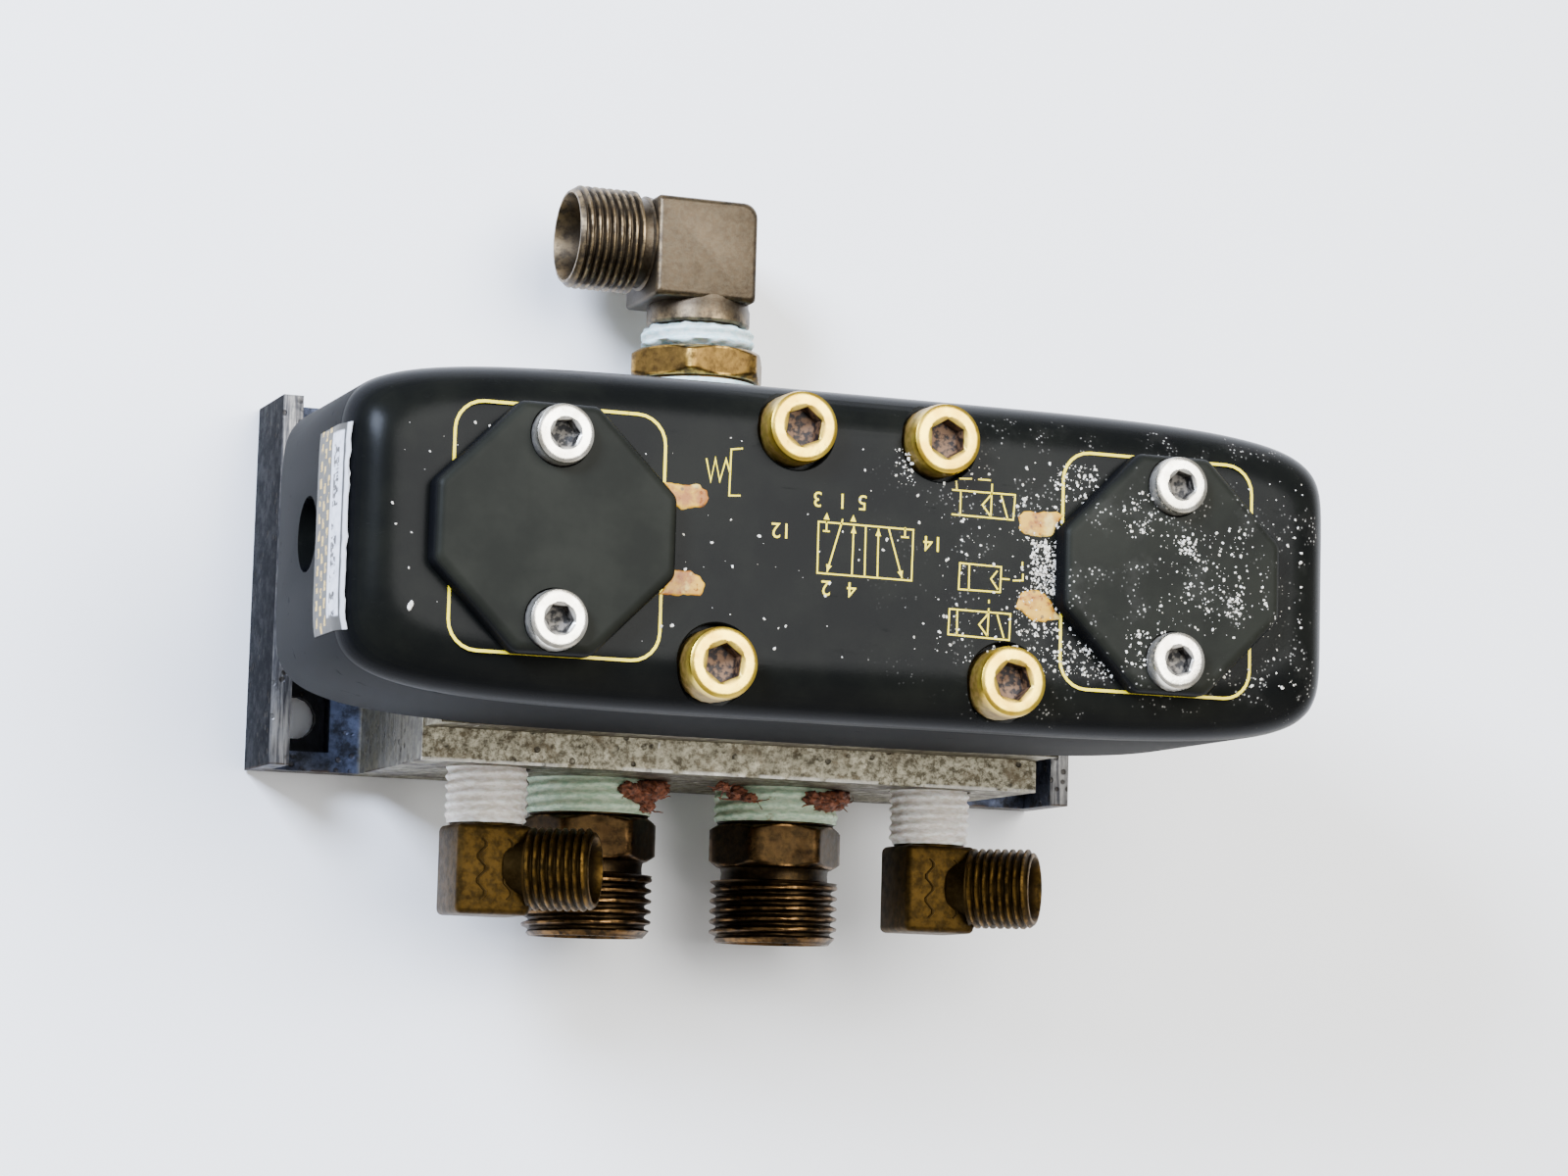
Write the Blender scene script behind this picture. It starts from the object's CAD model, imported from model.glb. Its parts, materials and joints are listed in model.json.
"""Looks of a piloted spool valve bolted on a side-ported sub-base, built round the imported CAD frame."""

import json
import logging
import math
import random
from dataclasses import dataclass, field
from enum import Enum
from typing import Callable, Optional, Sequence, Union

import bmesh
import bpy
from mathutils import Matrix, Vector, noise

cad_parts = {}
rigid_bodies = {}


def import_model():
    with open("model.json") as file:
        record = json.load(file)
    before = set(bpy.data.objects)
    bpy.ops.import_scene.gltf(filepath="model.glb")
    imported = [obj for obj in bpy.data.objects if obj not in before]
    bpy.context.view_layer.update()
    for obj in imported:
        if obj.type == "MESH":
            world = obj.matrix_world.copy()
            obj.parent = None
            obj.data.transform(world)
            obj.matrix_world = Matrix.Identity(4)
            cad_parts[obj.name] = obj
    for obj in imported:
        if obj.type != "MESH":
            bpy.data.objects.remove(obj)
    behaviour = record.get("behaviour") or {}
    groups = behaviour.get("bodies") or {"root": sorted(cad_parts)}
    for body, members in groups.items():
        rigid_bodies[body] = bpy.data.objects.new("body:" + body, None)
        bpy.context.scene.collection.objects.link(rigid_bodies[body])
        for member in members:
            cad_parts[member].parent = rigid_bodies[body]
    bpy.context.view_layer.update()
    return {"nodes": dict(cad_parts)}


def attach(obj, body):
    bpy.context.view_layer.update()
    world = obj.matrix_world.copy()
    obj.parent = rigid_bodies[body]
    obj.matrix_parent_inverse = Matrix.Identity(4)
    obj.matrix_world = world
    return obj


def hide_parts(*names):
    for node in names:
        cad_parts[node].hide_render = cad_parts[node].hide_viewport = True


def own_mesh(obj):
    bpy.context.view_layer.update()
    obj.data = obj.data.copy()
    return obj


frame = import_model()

LOG = logging.getLogger("spool_valve")
MM = 0.001
NOISE_SEED = 5
UP = (0, 0, 1)
FACE_Z = 76.0  # the valve's printed face
WALL_TOP_Z = 70.0  # where the casing's walls start to round over
INK_LOW = FACE_Z - 0.05
INK_HIGH = FACE_Z + 0.03
SPOOL_Z = 57.5  # the spool's axis
PLATE_X = 38.4  # each blanking plate's middle, to both sides
PLATE_TOP = 79.0
PLATE_SCREW_Y = 10.5
PORT_X = 12.8  # ports 2 and 4
PORT_Z = 14.0
PILOT_X = 29.9  # pilot ports 12 and 14
PILOT_Z = 25.2

Point = Sequence[float]
Colour = tuple[float, float, float, float]
Radius = Union[float, Callable[[float], float]]


class Body(Enum):
    """The CAD bodies that pieces ride on."""

    VALVE = "valve"
    SPOOL = "spool_set"
    PISTON = "piston_set"
    SEAT = "spring_seat_body"


class Way(Enum):
    """Directions that a fitting's axis takes out of the sub-base."""

    OUTLET = (0.0, -1.0, 0.0)
    SUPPLY = (0.0, 1.0, 0.0)


def linear(code: str) -> Colour:
    """Turn an sRGB hex code into a linear colour.

    Args:
        code: Six hex digits with a leading hash.

    Returns:
        Linear red, green, blue and an alpha of one.
    """
    parts = [int(code[k : k + 2], 16) / 255 for k in (1, 3, 5)]
    red, green, blue = [p / 12.92 if p <= 0.04045 else ((p + 0.055) / 1.055) ** 2.4 for p in parts]
    return (red, green, blue, 1.0)


def add_node(
    tree: bpy.types.NodeTree, kind: str, settings: Optional[dict] = None, inputs: Optional[dict] = None
) -> bpy.types.Node:
    """Add one node to a tree with its settings, constants and links.

    Args:
        tree: The shader or geometry tree.
        kind: The node's type name.
        settings: Properties to set on the node.
        inputs: Socket name or number to a constant or to the socket that feeds it.

    Returns:
        The new node.
    """
    node = tree.nodes.new(kind)
    for name, value in (settings or {}).items():
        setattr(node, name, value)
    for key, value in (inputs or {}).items():
        if isinstance(value, bpy.types.NodeSocket):
            tree.links.new(value, node.inputs[key])
        else:
            node.inputs[key].default_value = value
    return node


Value = Union[bpy.types.NodeSocket, float, str]


@dataclass(frozen=True)
class Step:
    """One step of a material: a node with its settings, the inputs it takes and the output it gives."""

    kind: str
    settings: dict[str, object]
    inputs: tuple[Union[int, str], ...]
    output: Union[int, str] = 0


# A value eased from zero at the first number to one at the second, which may be the smaller.
EASE = Step("ShaderNodeMapRange", {"interpolation_type": "SMOOTHSTEP"}, ("Value", "From Min", "From Max"))
# A zero-to-one value spread between two numbers.
SPREAD = Step("ShaderNodeMapRange", {}, ("Value", "To Min", "To Max"))
# Two colours mixed by a factor.
MIX = Step("ShaderNodeMix", {"data_type": "RGBA", "clamp_factor": True}, (0, 6, 7), 2)
# A height and its depth in metres turned into a normal, on top of another normal where one is given.
BUMP = Step("ShaderNodeBump", {}, ("Height", "Distance", "Normal"))
# Clamped arithmetic.
MULTIPLY, PLUS, MINUS, LARGER = [
    Step("ShaderNodeMath", {"operation": name, "use_clamp": True}, (0, 1))
    for name in ("MULTIPLY", "ADD", "SUBTRACT", "MAXIMUM")
]
# Marks stored on the points of a mesh: where it is rubbed and where it is dirty.
WEAR, GRIME = [Step("ShaderNodeAttribute", {"attribute_name": name}, (), "Fac") for name in ("wear", "grime")]


class Shader:
    """A material's node tree, with the few patterns that every finish is made of."""

    def __init__(self, name: str) -> None:
        """Start an empty material.

        Args:
            name: The material's name.
        """
        self.material = bpy.data.materials.new(name)
        self.material.use_nodes = True
        self.tree = self.material.node_tree
        self.tree.nodes.clear()
        coordinates = add_node(self.tree, "ShaderNodeTexCoord")
        self.place = coordinates.outputs["Object"]
        split = add_node(self.tree, "ShaderNodeSeparateXYZ", inputs={0: self.place})
        self.x, self.y, self.z = split.outputs[0], split.outputs[1], split.outputs[2]

    def add(self, step: Step, *values: Value) -> bpy.types.NodeSocket:
        """Add one step, fed by sockets, numbers or hex colours.

        Args:
            step: The step to add.
            values: What goes into its inputs, in their order.

        Returns:
            The socket that the step gives.
        """
        given = [linear(value) if isinstance(value, str) else value for value in values]
        node = add_node(self.tree, step.kind, step.settings, dict(zip(step.inputs, given)))
        return node.outputs[step.output]

    def grain(
        self, size: float, detail: float = 3.0, rough: float = 0.55, stretch: Point = (1, 1, 1)
    ) -> bpy.types.NodeSocket:
        """A noise pattern of a real size.

        Args:
            size: Width of one grain in mm.
            detail: Octaves of finer noise.
            rough: Strength of the finer octaves.
            stretch: Scale along each axis, below one for longer grains.

        Returns:
            The noise value socket.
        """
        spread = {"Vector": self.place, "Scale": tuple(stretch)}
        drawn = add_node(self.tree, "ShaderNodeMapping", inputs=spread)
        inputs = {"Vector": drawn.outputs[0], "Scale": 1 / (size * MM), "Detail": detail, "Roughness": rough}
        return add_node(self.tree, "ShaderNodeTexNoise", inputs=inputs).outputs[0]

    def specks(self, size: float, share: float) -> bpy.types.NodeSocket:
        """Round specks of a real size.

        Args:
            size: Mean spacing of the specks in mm.
            share: Radius of a speck as a share of the spacing.

        Returns:
            A socket that is one on a speck.
        """
        inputs = {"Vector": self.place, "Scale": 1 / (size * MM)}
        cells = add_node(self.tree, "ShaderNodeTexVoronoi", inputs=inputs)
        return self.add(EASE, cells.outputs["Distance"], share, share * 0.6)

    def within(
        self, value: bpy.types.NodeSocket, low: float, high: float, soft: float = 0.1
    ) -> bpy.types.NodeSocket:
        """Pick out the stretch between two places.

        Args:
            value: The coordinate.
            low: Start of the stretch in mm.
            high: End of the stretch in mm.
            soft: Half the width of its soft ends in mm.

        Returns:
            A socket that is one inside the stretch.
        """
        above = self.add(EASE, value, (low - soft) * MM, (low + soft) * MM)
        below = self.add(EASE, value, (high + soft) * MM, (high - soft) * MM)
        return self.add(MULTIPLY, above, below)

    def close(
        self, colour: Value, rough: Value, normal: Optional[bpy.types.NodeSocket] = None, **others: Value
    ) -> bpy.types.Material:
        """Finish the tree with a principled surface.

        Args:
            colour: Base colour socket.
            rough: Roughness socket or number.
            normal: Bumped normal socket.
            others: Further inputs by name, underscores for spaces. A number is set straight on its socket.

        Returns:
            The finished material.
        """
        inputs = {"Base Color": colour, "Roughness": rough}
        if normal is not None:
            inputs["Normal"] = normal
        inputs.update({key.replace("_", " "): value for key, value in others.items()})
        surface = add_node(self.tree, "ShaderNodeBsdfPrincipled", inputs=inputs)
        add_node(self.tree, "ShaderNodeOutputMaterial", inputs={0: surface.outputs[0]})
        return self.material


@dataclass(frozen=True)
class Finish:
    """A surface, named by its real material and process, and the CAD slot it belongs to."""

    name: str
    slot: str
    base: str
    second: str
    rough: tuple[float, float] = (0.4, 0.6)
    grain: float = 2.0
    depth: float = 0.01
    metallic: float = 0.0

    def material(self) -> bpy.types.Material:
        """Build the material once and reuse it afterwards."""
        found = bpy.data.materials.get(self.name)
        return found if found else self.wire(Shader(self.name))

    def wire(self, shader: Shader) -> bpy.types.Material:
        """Two mottled tones with an uneven sheen and a fine relief.

        Args:
            shader: The empty material to fill.

        Returns:
            The finished material.
        """
        add = shader.add
        mottle = shader.grain(self.grain, 4)
        colour = add(MIX, add(EASE, mottle, 0.35, 0.65), self.base, self.second)
        rough = add(SPREAD, shader.grain(self.grain * 0.6), *self.rough)
        # Tool marks and moulded skin are finer than this, and are drawn coarser so that they show.
        normal = add(BUMP, shader.grain(self.grain * 0.25, 3), self.depth * MM)
        return shader.close(colour, rough, normal, Metallic=self.metallic)


@dataclass(frozen=True)
class PaintFinish(Finish):
    """Black paint or black plastic, with dust caught on the half towards port 14."""

    side: str = "#06070B"
    dust: float = 0.5

    def wire(self, shader: Shader) -> bpy.types.Material:
        """Darker cool side walls, orange peel and pale specks.

        Args:
            shader: The empty material to fill.

        Returns:
            The finished material.
        """
        add = shader.add
        mottle = shader.grain(9.0, 5, 0.6)
        paint = add(MIX, add(EASE, mottle, 0.35, 0.7), self.base, self.second)
        geometry = add_node(shader.tree, "ShaderNodeNewGeometry")
        split = add_node(shader.tree, "ShaderNodeSeparateXYZ", inputs={0: geometry.outputs["True Normal"]})
        steep = add(EASE, split.outputs[2], 0.93, 0.4)
        paint = add(MIX, add(MULTIPLY, steep, 0.85), paint, self.side)
        side = add(EASE, shader.x, -0.002, 0.03)
        patch = add(EASE, shader.grain(5.0, 4, 0.65), 0.5, 0.66)
        dusty = add(MULTIPLY, add(MULTIPLY, side, patch), self.dust)
        dusty = add(MINUS, dusty, add(MULTIPLY, steep, 0.42))
        # Dust is mostly under 0.1 mm, and is drawn as specks of 0.3 mm so that it shows.
        fine = shader.specks(0.55, 0.26)
        coarse = add(MULTIPLY, shader.specks(1.7, 0.12), 0.9)
        speck = add(MULTIPLY, add(LARGER, fine, coarse), dusty)
        haze = add(MULTIPLY, dusty, 0.12)
        paint = add(MIX, haze, paint, "#4F4E49")
        paint = add(MIX, speck, paint, "#D9D6CC")
        rub = add(EASE, shader.grain(2.2, 5, 0.7, (0.3, 1, 1)), 0.62, 0.75)
        rough = add(SPREAD, add(LARGER, rub, speck), *self.rough)
        upright = add(EASE, split.outputs[2], 0.3, 0.05)
        rough = add(PLUS, rough, add(MULTIPLY, upright, 0.4))
        # Orange peel ripples at about 0.2 mm, and is drawn at 0.5 mm so that it shows.
        peel = add(BUMP, shader.grain(0.5, 2), self.depth * MM)
        return shader.close(paint, rough, peel, IOR=1.13)


@dataclass(frozen=True)
class InkFinish(Finish):
    """Screen-printed ink, thin and worn through in places."""

    def wire(self, shader: Shader) -> bpy.types.Material:
        """Ink colour broken by worn specks of the paint below.

        Args:
            shader: The empty material to fill.

        Returns:
            The finished material.
        """
        add = shader.add
        worn = add(EASE, shader.grain(0.7, 4, 0.7), 0.6, 0.72)
        colour = add(MIX, worn, self.base, self.second)
        return shader.close(colour, add(SPREAD, worn, *self.rough))


@dataclass(frozen=True)
class PlatedFinish(Finish):
    """Zinc plating on a screw, with grime in its socket."""

    grime: str = "#1A100D"
    silt: str = "#6A4E36"

    def wire(self, shader: Shader) -> bpy.types.Material:
        """Plating tint, brown film in hollows and a dull dirty socket.

        Args:
            shader: The empty material to fill.

        Returns:
            The finished material.
        """
        add = shader.add
        tint = add(MIX, add(EASE, shader.grain(2.4, 4), 0.35, 0.65), self.base, self.second)
        film = add(EASE, shader.grain(0.9, 5, 0.7), 0.6, 0.78)
        tint = add(MIX, add(MULTIPLY, film, 0.4), tint, "#6E5A38")
        dirt = add(GRIME)
        mottle = add(MIX, add(EASE, shader.grain(0.7, 4), 0.42, 0.6), self.grime, self.silt)
        colour = add(MIX, dirt, tint, mottle)
        rough = add(PLUS, add(SPREAD, film, *self.rough), add(MULTIPLY, dirt, 0.25))
        # Plating crystals are finer than 0.05 mm, and are drawn at 0.35 mm so that they show.
        normal = add(BUMP, shader.grain(0.35, 3), self.depth * MM)
        metal = add(SPREAD, dirt, 1.0, 0.35)
        return shader.close(colour, rough, normal, Metallic=metal)


@dataclass(frozen=True)
class BrassFinish(Finish):
    """Turned or forged brass, tarnished brown to black and rubbed bright on its edges."""

    dark: str = "#241A10"
    bright: str = "#C79A52"
    tarnish: float = 0.5
    metallic: float = 1.0

    def wire(self, shader: Shader) -> bpy.types.Material:
        """Three tones of tarnish, bright worn edges and a turned relief.

        Args:
            shader: The empty material to fill.

        Returns:
            The finished material.
        """
        add = shader.add
        broad = shader.grain(self.grain * 2.4, 5, 0.6)
        fine = shader.grain(self.grain * 0.5, 5, 0.7)
        colour = add(MIX, add(EASE, fine, 0.4, 0.62), self.base, self.second)
        black = add(EASE, broad, self.tarnish + 0.12, self.tarnish - 0.12)
        colour = add(MIX, add(MULTIPLY, black, 0.85), colour, self.dark)
        wear = add(WEAR)
        rubbed = add(MULTIPLY, wear, add(EASE, shader.grain(1.3, 4, 0.65), 0.36, 0.62))
        colour = add(MIX, rubbed, colour, self.bright)
        soot = add(GRIME)
        colour = add(MIX, soot, colour, "#120D0A")
        rough = add(SPREAD, add(MINUS, fine, add(MULTIPLY, rubbed, 0.5)), *self.rough)
        # Turning marks are about 0.1 mm apart, and are drawn at 0.45 mm so that they show.
        normal = add(BUMP, shader.grain(0.45, 4, 0.65), self.depth * MM)
        return shader.close(colour, rough, normal, Metallic=self.metallic)


@dataclass(frozen=True)
class TapeFinish(Finish):
    """Thread tape, thin white film squeezed over the thread and stained."""

    stain: str = "#8A6540"
    stained: float = 0.6

    def wire(self, shader: Shader) -> bpy.types.Material:
        """Pale film with dirty folds and a brown stain.

        Args:
            shader: The empty material to fill.

        Returns:
            The finished material.
        """
        add = shader.add
        fold = shader.grain(1.1, 4, 0.6, (1, 3, 1))
        colour = add(MIX, add(EASE, fold, 0.4, 0.62), self.base, self.second)
        mark = add(EASE, shader.grain(3.4, 5, 0.7), self.stained, self.stained + 0.12)
        colour = add(MIX, add(MULTIPLY, mark, 0.8), colour, self.stain)
        hollow = add(WEAR)
        colour = add(MIX, add(MULTIPLY, hollow, 0.35), colour, self.stain)
        rough = add(SPREAD, fold, *self.rough)
        normal = add(BUMP, shader.grain(0.5, 4, 0.6, (1, 2.5, 1)), self.depth * MM)
        return shader.close(colour, rough, normal, Subsurface_Weight=0.12, Subsurface_Scale=0.001)


@dataclass(frozen=True)
class SubbaseFinish(Finish):
    """Cast aluminium, bright where it was machined and dirty where it was not."""

    metallic: float = 0.75

    def wire(self, shader: Shader) -> bpy.types.Material:
        """Mottled casting, pits, drips, a black trough and brushed rims, each in its own place.

        Args:
            shader: The empty material to fill.

        Returns:
            The finished material.
        """
        add = shader.add
        mottle = add(EASE, shader.grain(1.8, 6, 0.7), 0.36, 0.64)
        colour = add(MIX, mottle, self.base, self.second)
        # The shelves beyond the ported block, in the dark cool tone of bare castings in shade.
        far = add(LARGER, add(EASE, shader.x, 0.0405, 0.0415), add(EASE, shader.x, -0.0405, -0.0415))
        cool = add(MIX, add(EASE, shader.grain(2.0, 6, 0.7), 0.35, 0.66), "#0E1016", "#3B4152")
        colour = add(MIX, far, colour, cool)
        # The trough's floor and outer wall, black with old oil.
        low = add(EASE, shader.z, 0.0042, 0.0036)
        deep = add(MULTIPLY, far, low)
        inner = add(MULTIPLY, shader.within(shader.x, -52.5, 52.5), deep)
        colour = add(MIX, inner, colour, "#0E0F12")
        outer = add(LARGER, add(EASE, shader.x, 0.0547, 0.0549), add(EASE, shader.x, -0.0547, -0.0549))
        colour = add(MIX, outer, colour, "#090A0F")
        # The shelves' milled rims.
        rim = add(MULTIPLY, far, add(EASE, shader.z, 0.01325, 0.01335))
        brush = add(EASE, shader.grain(0.5, 4, 0.65, (1, 0.06, 1)), 0.35, 0.7)
        brushed = add(MIX, brush, "#37373A", "#8C8A86")
        colour = add(MIX, rim, colour, brushed)
        # The pad under the valve and the shoulder in front of it.
        pad = shader.within(shader.z, 34.3, 42.0)
        shelf = shader.within(shader.z, 34.0, 34.35, 0.05)
        stained = add(EASE, shader.grain(2.2, 6, 0.72, (1, 1, 0.3)), 0.4, 0.6)
        colour = add(MIX, add(MULTIPLY, pad, stained), colour, "#4A4234")
        face = add(MIX, add(EASE, shader.grain(0.9, 6, 0.75), 0.4, 0.62), "#463F2F", "#C9C2A8")
        stain = add(EASE, shader.grain(5.0, 6, 0.75), 0.5, 0.62)
        face = add(MIX, add(MULTIPLY, stain, 0.6), face, "#57472F")
        colour = add(MIX, add(MULTIPLY, shelf, 0.85), colour, face)
        # The ported wall, with dirt run down it, casting pits and drips of paste.
        wall = add(MULTIPLY, shader.within(shader.z, 0.0, 33.9), add(EASE, shader.y, -0.0232, -0.0234))
        dirt = add(MULTIPLY, wall, add(EASE, shader.grain(4.0, 6, 0.7), 0.56, 0.42))
        colour = add(MIX, add(MULTIPLY, dirt, 0.9), colour, "#35291F")
        pits = shader.specks(1.5, 0.3)
        pits = add(MULTIPLY, pits, add(EASE, shader.grain(6.0, 3), 0.45, 0.6))
        colour = add(MIX, add(MULTIPLY, pits, 0.8), colour, "#2A251E")
        drip = add(EASE, shader.grain(1.4, 4, 0.6, (1, 0.25, 0.25)), 0.68, 0.74)
        drip = add(MULTIPLY, drip, shader.within(shader.x, -40.8, 40.8))
        colour = add(MIX, add(MULTIPLY, drip, 0.7), colour, "#E4E0D4")
        # The bright lip between the shoulder and the wall, and the rubbed edges.
        lip = add(MULTIPLY, shader.within(shader.z, 33.9, 34.2, 0.05), add(EASE, shader.y, -0.0230, -0.0233))
        lip = add(MULTIPLY, lip, add(EASE, shader.grain(5.0, 4, 0.7), 0.4, 0.5))
        colour = add(MIX, lip, colour, "#E8E5DC")
        edge = add(MULTIPLY, add(WEAR), add(EASE, shader.grain(1.5, 4), 0.3, 0.5))
        colour = add(MIX, edge, colour, "#CFCBBE")
        rough = add(PLUS, add(SPREAD, mottle, *self.rough), add(MULTIPLY, outer, 0.4))
        normal = add(BUMP, shader.grain(0.6, 4, 0.6), self.depth * MM)
        normal = add(BUMP, pits, -0.15 * MM, normal)
        return shader.close(colour, rough, normal, Metallic=self.metallic)


@dataclass(frozen=True)
class LabelFinish(Finish):
    """A foil rating label with its print worn to broken dashes."""

    def wire(self, shader: Shader) -> bpy.types.Material:
        """Dark field with broken yellow dashes, a white strip with dark dashes and a bare foil edge.

        Args:
            shader: The empty material to fill.

        Returns:
            The finished material.
        """
        add = shader.add
        dark = add(MIX, shader.grain(1.5, 4), self.base, self.second)
        lines = add_node(
            shader.tree,
            "ShaderNodeTexBrick",
            {"offset": 0.37},
            {
                "Vector": add_node(
                    shader.tree,
                    "ShaderNodeCombineXYZ",
                    inputs={0: shader.y, 1: shader.z},
                ).outputs[0],
                "Color1": (1, 1, 1, 1),
                "Color2": (0.75, 0.75, 0.75, 1),
                "Mortar": (0, 0, 0, 1),
                "Scale": 100.0,
                "Mortar Size": 0.045,
                "Mortar Smooth": 0.1,
                "Brick Width": 0.2,
                "Row Height": 0.18,
            },
        )
        mark = add(EASE, lines.outputs["Color"], 0.3, 0.6)
        broken = add(EASE, shader.grain(0.9, 3, 0.6), 0.42, 0.5)
        inked = add(MULTIPLY, mark, broken)
        lower = shader.within(shader.z, 62.9, 68.3, 0.15)
        colour = add(MIX, add(MULTIPLY, inked, lower), dark, "#C9A74A")
        strip = shader.within(shader.z, 68.5, 72.1, 0.08)
        strip = add(MULTIPLY, strip, shader.within(shader.y, -10.8, 10.2, 0.15))
        white = add(MIX, add(EASE, shader.grain(1.0, 4), 0.3, 0.8), "#DADCE6", "#B9BCC8")
        digits = add(MULTIPLY, broken, shader.within(shader.z, 69.5, 71.3, 0.12))
        digits = add(MULTIPLY, digits, add(EASE, shader.grain(1.3, 2, 0.5, (1, 1, 0.3)), 0.46, 0.52))
        white = add(MIX, digits, white, "#2B2A2C")
        colour = add(MIX, strip, colour, white)
        foil = add(EASE, shader.z, 0.0724, 0.0727)
        colour = add(MIX, foil, colour, "#C8CBD2")
        rough = add(SPREAD, shader.grain(1.0, 3), *self.rough)
        return shader.close(colour, rough, add(BUMP, shader.grain(1.2, 3), self.depth * MM))


@dataclass(frozen=True)
class StickerFinish(Finish):
    """A worn paint patch, orange over cream, with rust spots."""

    def wire(self, shader: Shader) -> bpy.types.Material:
        """Cream with orange shading and dark rust specks.

        Args:
            shader: The empty material to fill.

        Returns:
            The finished material.
        """
        add = shader.add
        colour = add(MIX, add(EASE, shader.grain(2.2, 5, 0.6), 0.4, 0.62), self.base, self.second)
        rust = add(EASE, shader.grain(1.1, 5, 0.72), 0.6, 0.68)
        colour = add(MIX, add(MULTIPLY, rust, 0.9), colour, "#8A4A22")
        pit = shader.specks(1.5, 0.2)
        colour = add(MIX, add(MULTIPLY, pit, 0.75), colour, "#3A2A1C")
        cream = add(EASE, shader.grain(3.0, 3), 0.52, 0.64)
        colour = add(MIX, add(MULTIPLY, cream, 0.6), colour, "#DCC870")
        return shader.close(colour, add(SPREAD, rust, *self.rough), add(BUMP, rust, -0.05 * MM))


# Cast aluminium, sprayed satin black: near black, with soft highlights along the rounded edges.
CASING_PAINT = PaintFinish(
    "cast_aluminium_sprayed_satin_black", "black_paint", "#0B0C0B", "#121310", (0.27, 0.55), depth=0.006
)
# Nylon, moulded with a matt skin: a flatter and slightly greener black than the paint round it.
PLATE_PAINT = PaintFinish(
    "nylon_moulded_matt_black", "dark_plate", "#171814", "#1E1F1A", (0.44, 0.66), depth=0.008, dust=0.8
)
# Two-part epoxy ink, screen printed: opaque matt yellow that goes olive where it is worn.
PRINT_INK = InkFinish(
    "epoxy_ink_screen_printed_yellow", "black_paint", "#EBD300", "#9A8A10", (0.5, 0.7)
)
# Steel, zinc plated and yellow passivated: pale gold, with brown silt in the sockets.
GOLD_ZINC = PlatedFinish(
    "steel_zinc_yellow_passivated", "yellow_zinc", "#DCBE48", "#C29E34", (0.28, 0.5), depth=0.012,
    metallic=1.0,
)
# Steel, zinc plated and clear passivated: silvery white, with grey dirt in the sockets.
PALE_ZINC = PlatedFinish(
    "steel_zinc_clear_passivated", "white_zinc", "#E2DED2", "#BDB7A8", (0.22, 0.48), depth=0.012,
    metallic=1.0, grime="#141312", silt="#6B665E",
)
# Brass, turned and heavily tarnished: brown black, with thread crests rubbed to dull gold.
OUTLET_BRASS = BrassFinish(
    "brass_turned_brown_tarnish", "tarnished_brass", "#271E12", "#3A2C19", (0.3, 0.6), depth=0.02,
    dark="#100A06", bright="#63492A", tarnish=0.46,
)
# Brass, hot forged: a rough olive-brown skin, duller than the turned pieces.
ELBOW_BRASS = BrassFinish(
    "brass_forged_olive_tarnish", "tarnished_brass", "#2A1F0C", "#332712", (0.46, 0.72), grain=1.4,
    depth=0.03, dark="#191208", bright="#62491F", tarnish=0.38,
)
# Brass, hot forged and dulled: a smooth grey-bronze film with paler rubbed edges.
SUPPLY_BRASS = BrassFinish(
    "brass_forged_bronze_film", "tarnished_brass", "#3F362B", "#484034", (0.36, 0.55), grain=1.1,
    depth=0.02, dark="#2D251C", bright="#7E6C50", tarnish=0.33,
)
# Brass, turned from hexagon bar: golden brown flats with bright corners.
BUSH_BRASS = BrassFinish(
    "brass_turned_golden_film", "tarnished_brass", "#43331A", "#584322", (0.34, 0.55), depth=0.015,
    dark="#241A0D", bright="#A8843F", tarnish=0.42,
)
# PTFE film, wrapped by hand: soft waxy white with dirt in its folds.
WHITE_TAPE = TapeFinish(
    "ptfe_film_wrapped_white", "ptfe_tape", "#FBF7F0", "#DED6C8", (0.45, 0.7), depth=0.06, stained=0.68
)
# PTFE film under sealing paste: waxy pale green with broad brown stains.
GREEN_TAPE = TapeFinish(
    "ptfe_film_wrapped_pale_green", "ptfe_tape", "#CCE0C2", "#A4C2A2", (0.4, 0.65), depth=0.06,
    stain="#6E5230", stained=0.58,
)
# PTFE film under sealing paste: waxy pale blue, nearly clean.
CYAN_TAPE = TapeFinish(
    "ptfe_film_wrapped_pale_blue", "ptfe_tape", "#DDF3F6", "#B4DCE2", (0.4, 0.65), depth=0.06, stained=0.74
)
# Aluminium, gravity cast and partly machined: mottled warm grey with pits, stains and bright rims.
BASE_METAL = SubbaseFinish(
    "aluminium_cast_weathered", "cast_aluminium", "#7E7862", "#4E4937", (0.36, 0.62), depth=0.05
)
# Aluminium, bored and honed: clean even grey with a tight highlight.
MACHINED_METAL = Finish(
    "aluminium_honed_bright", "machined_aluminium", "#B9BBBE", "#A7A9AD", (0.25, 0.4), 1.2, 0.004, 1.0
)
# Music wire, drawn and oiled: dark steel with a sharp wet highlight.
SPRING_METAL = Finish(
    "steel_music_wire_oiled", "spring_steel", "#5A5B60", "#7A7B80", (0.25, 0.45), 0.8, 0.004, 1.0
)
# Nitrile, moulded: dull black, with almost no highlight.
SEAL_RUBBER = Finish("nitrile_moulded_black", "nitrile_rubber", "#17171A", "#202023", (0.5, 0.7), 0.8, 0.01)
# Acetal, turned: off-white with a soft sheen.
PISTON_PLASTIC = Finish("acetal_turned_white", "acetal", "#DAD7CC", "#CBC8BC", (0.35, 0.5), 1.5, 0.004)
# Aluminium foil, printed and worn: a dark field of broken yellow dashes under a white strip.
LABEL_FOIL = LabelFinish(
    "aluminium_foil_printed_worn", "foil_label", "#1C1B19", "#2A2823", (0.35, 0.6), depth=0.03
)
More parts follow.
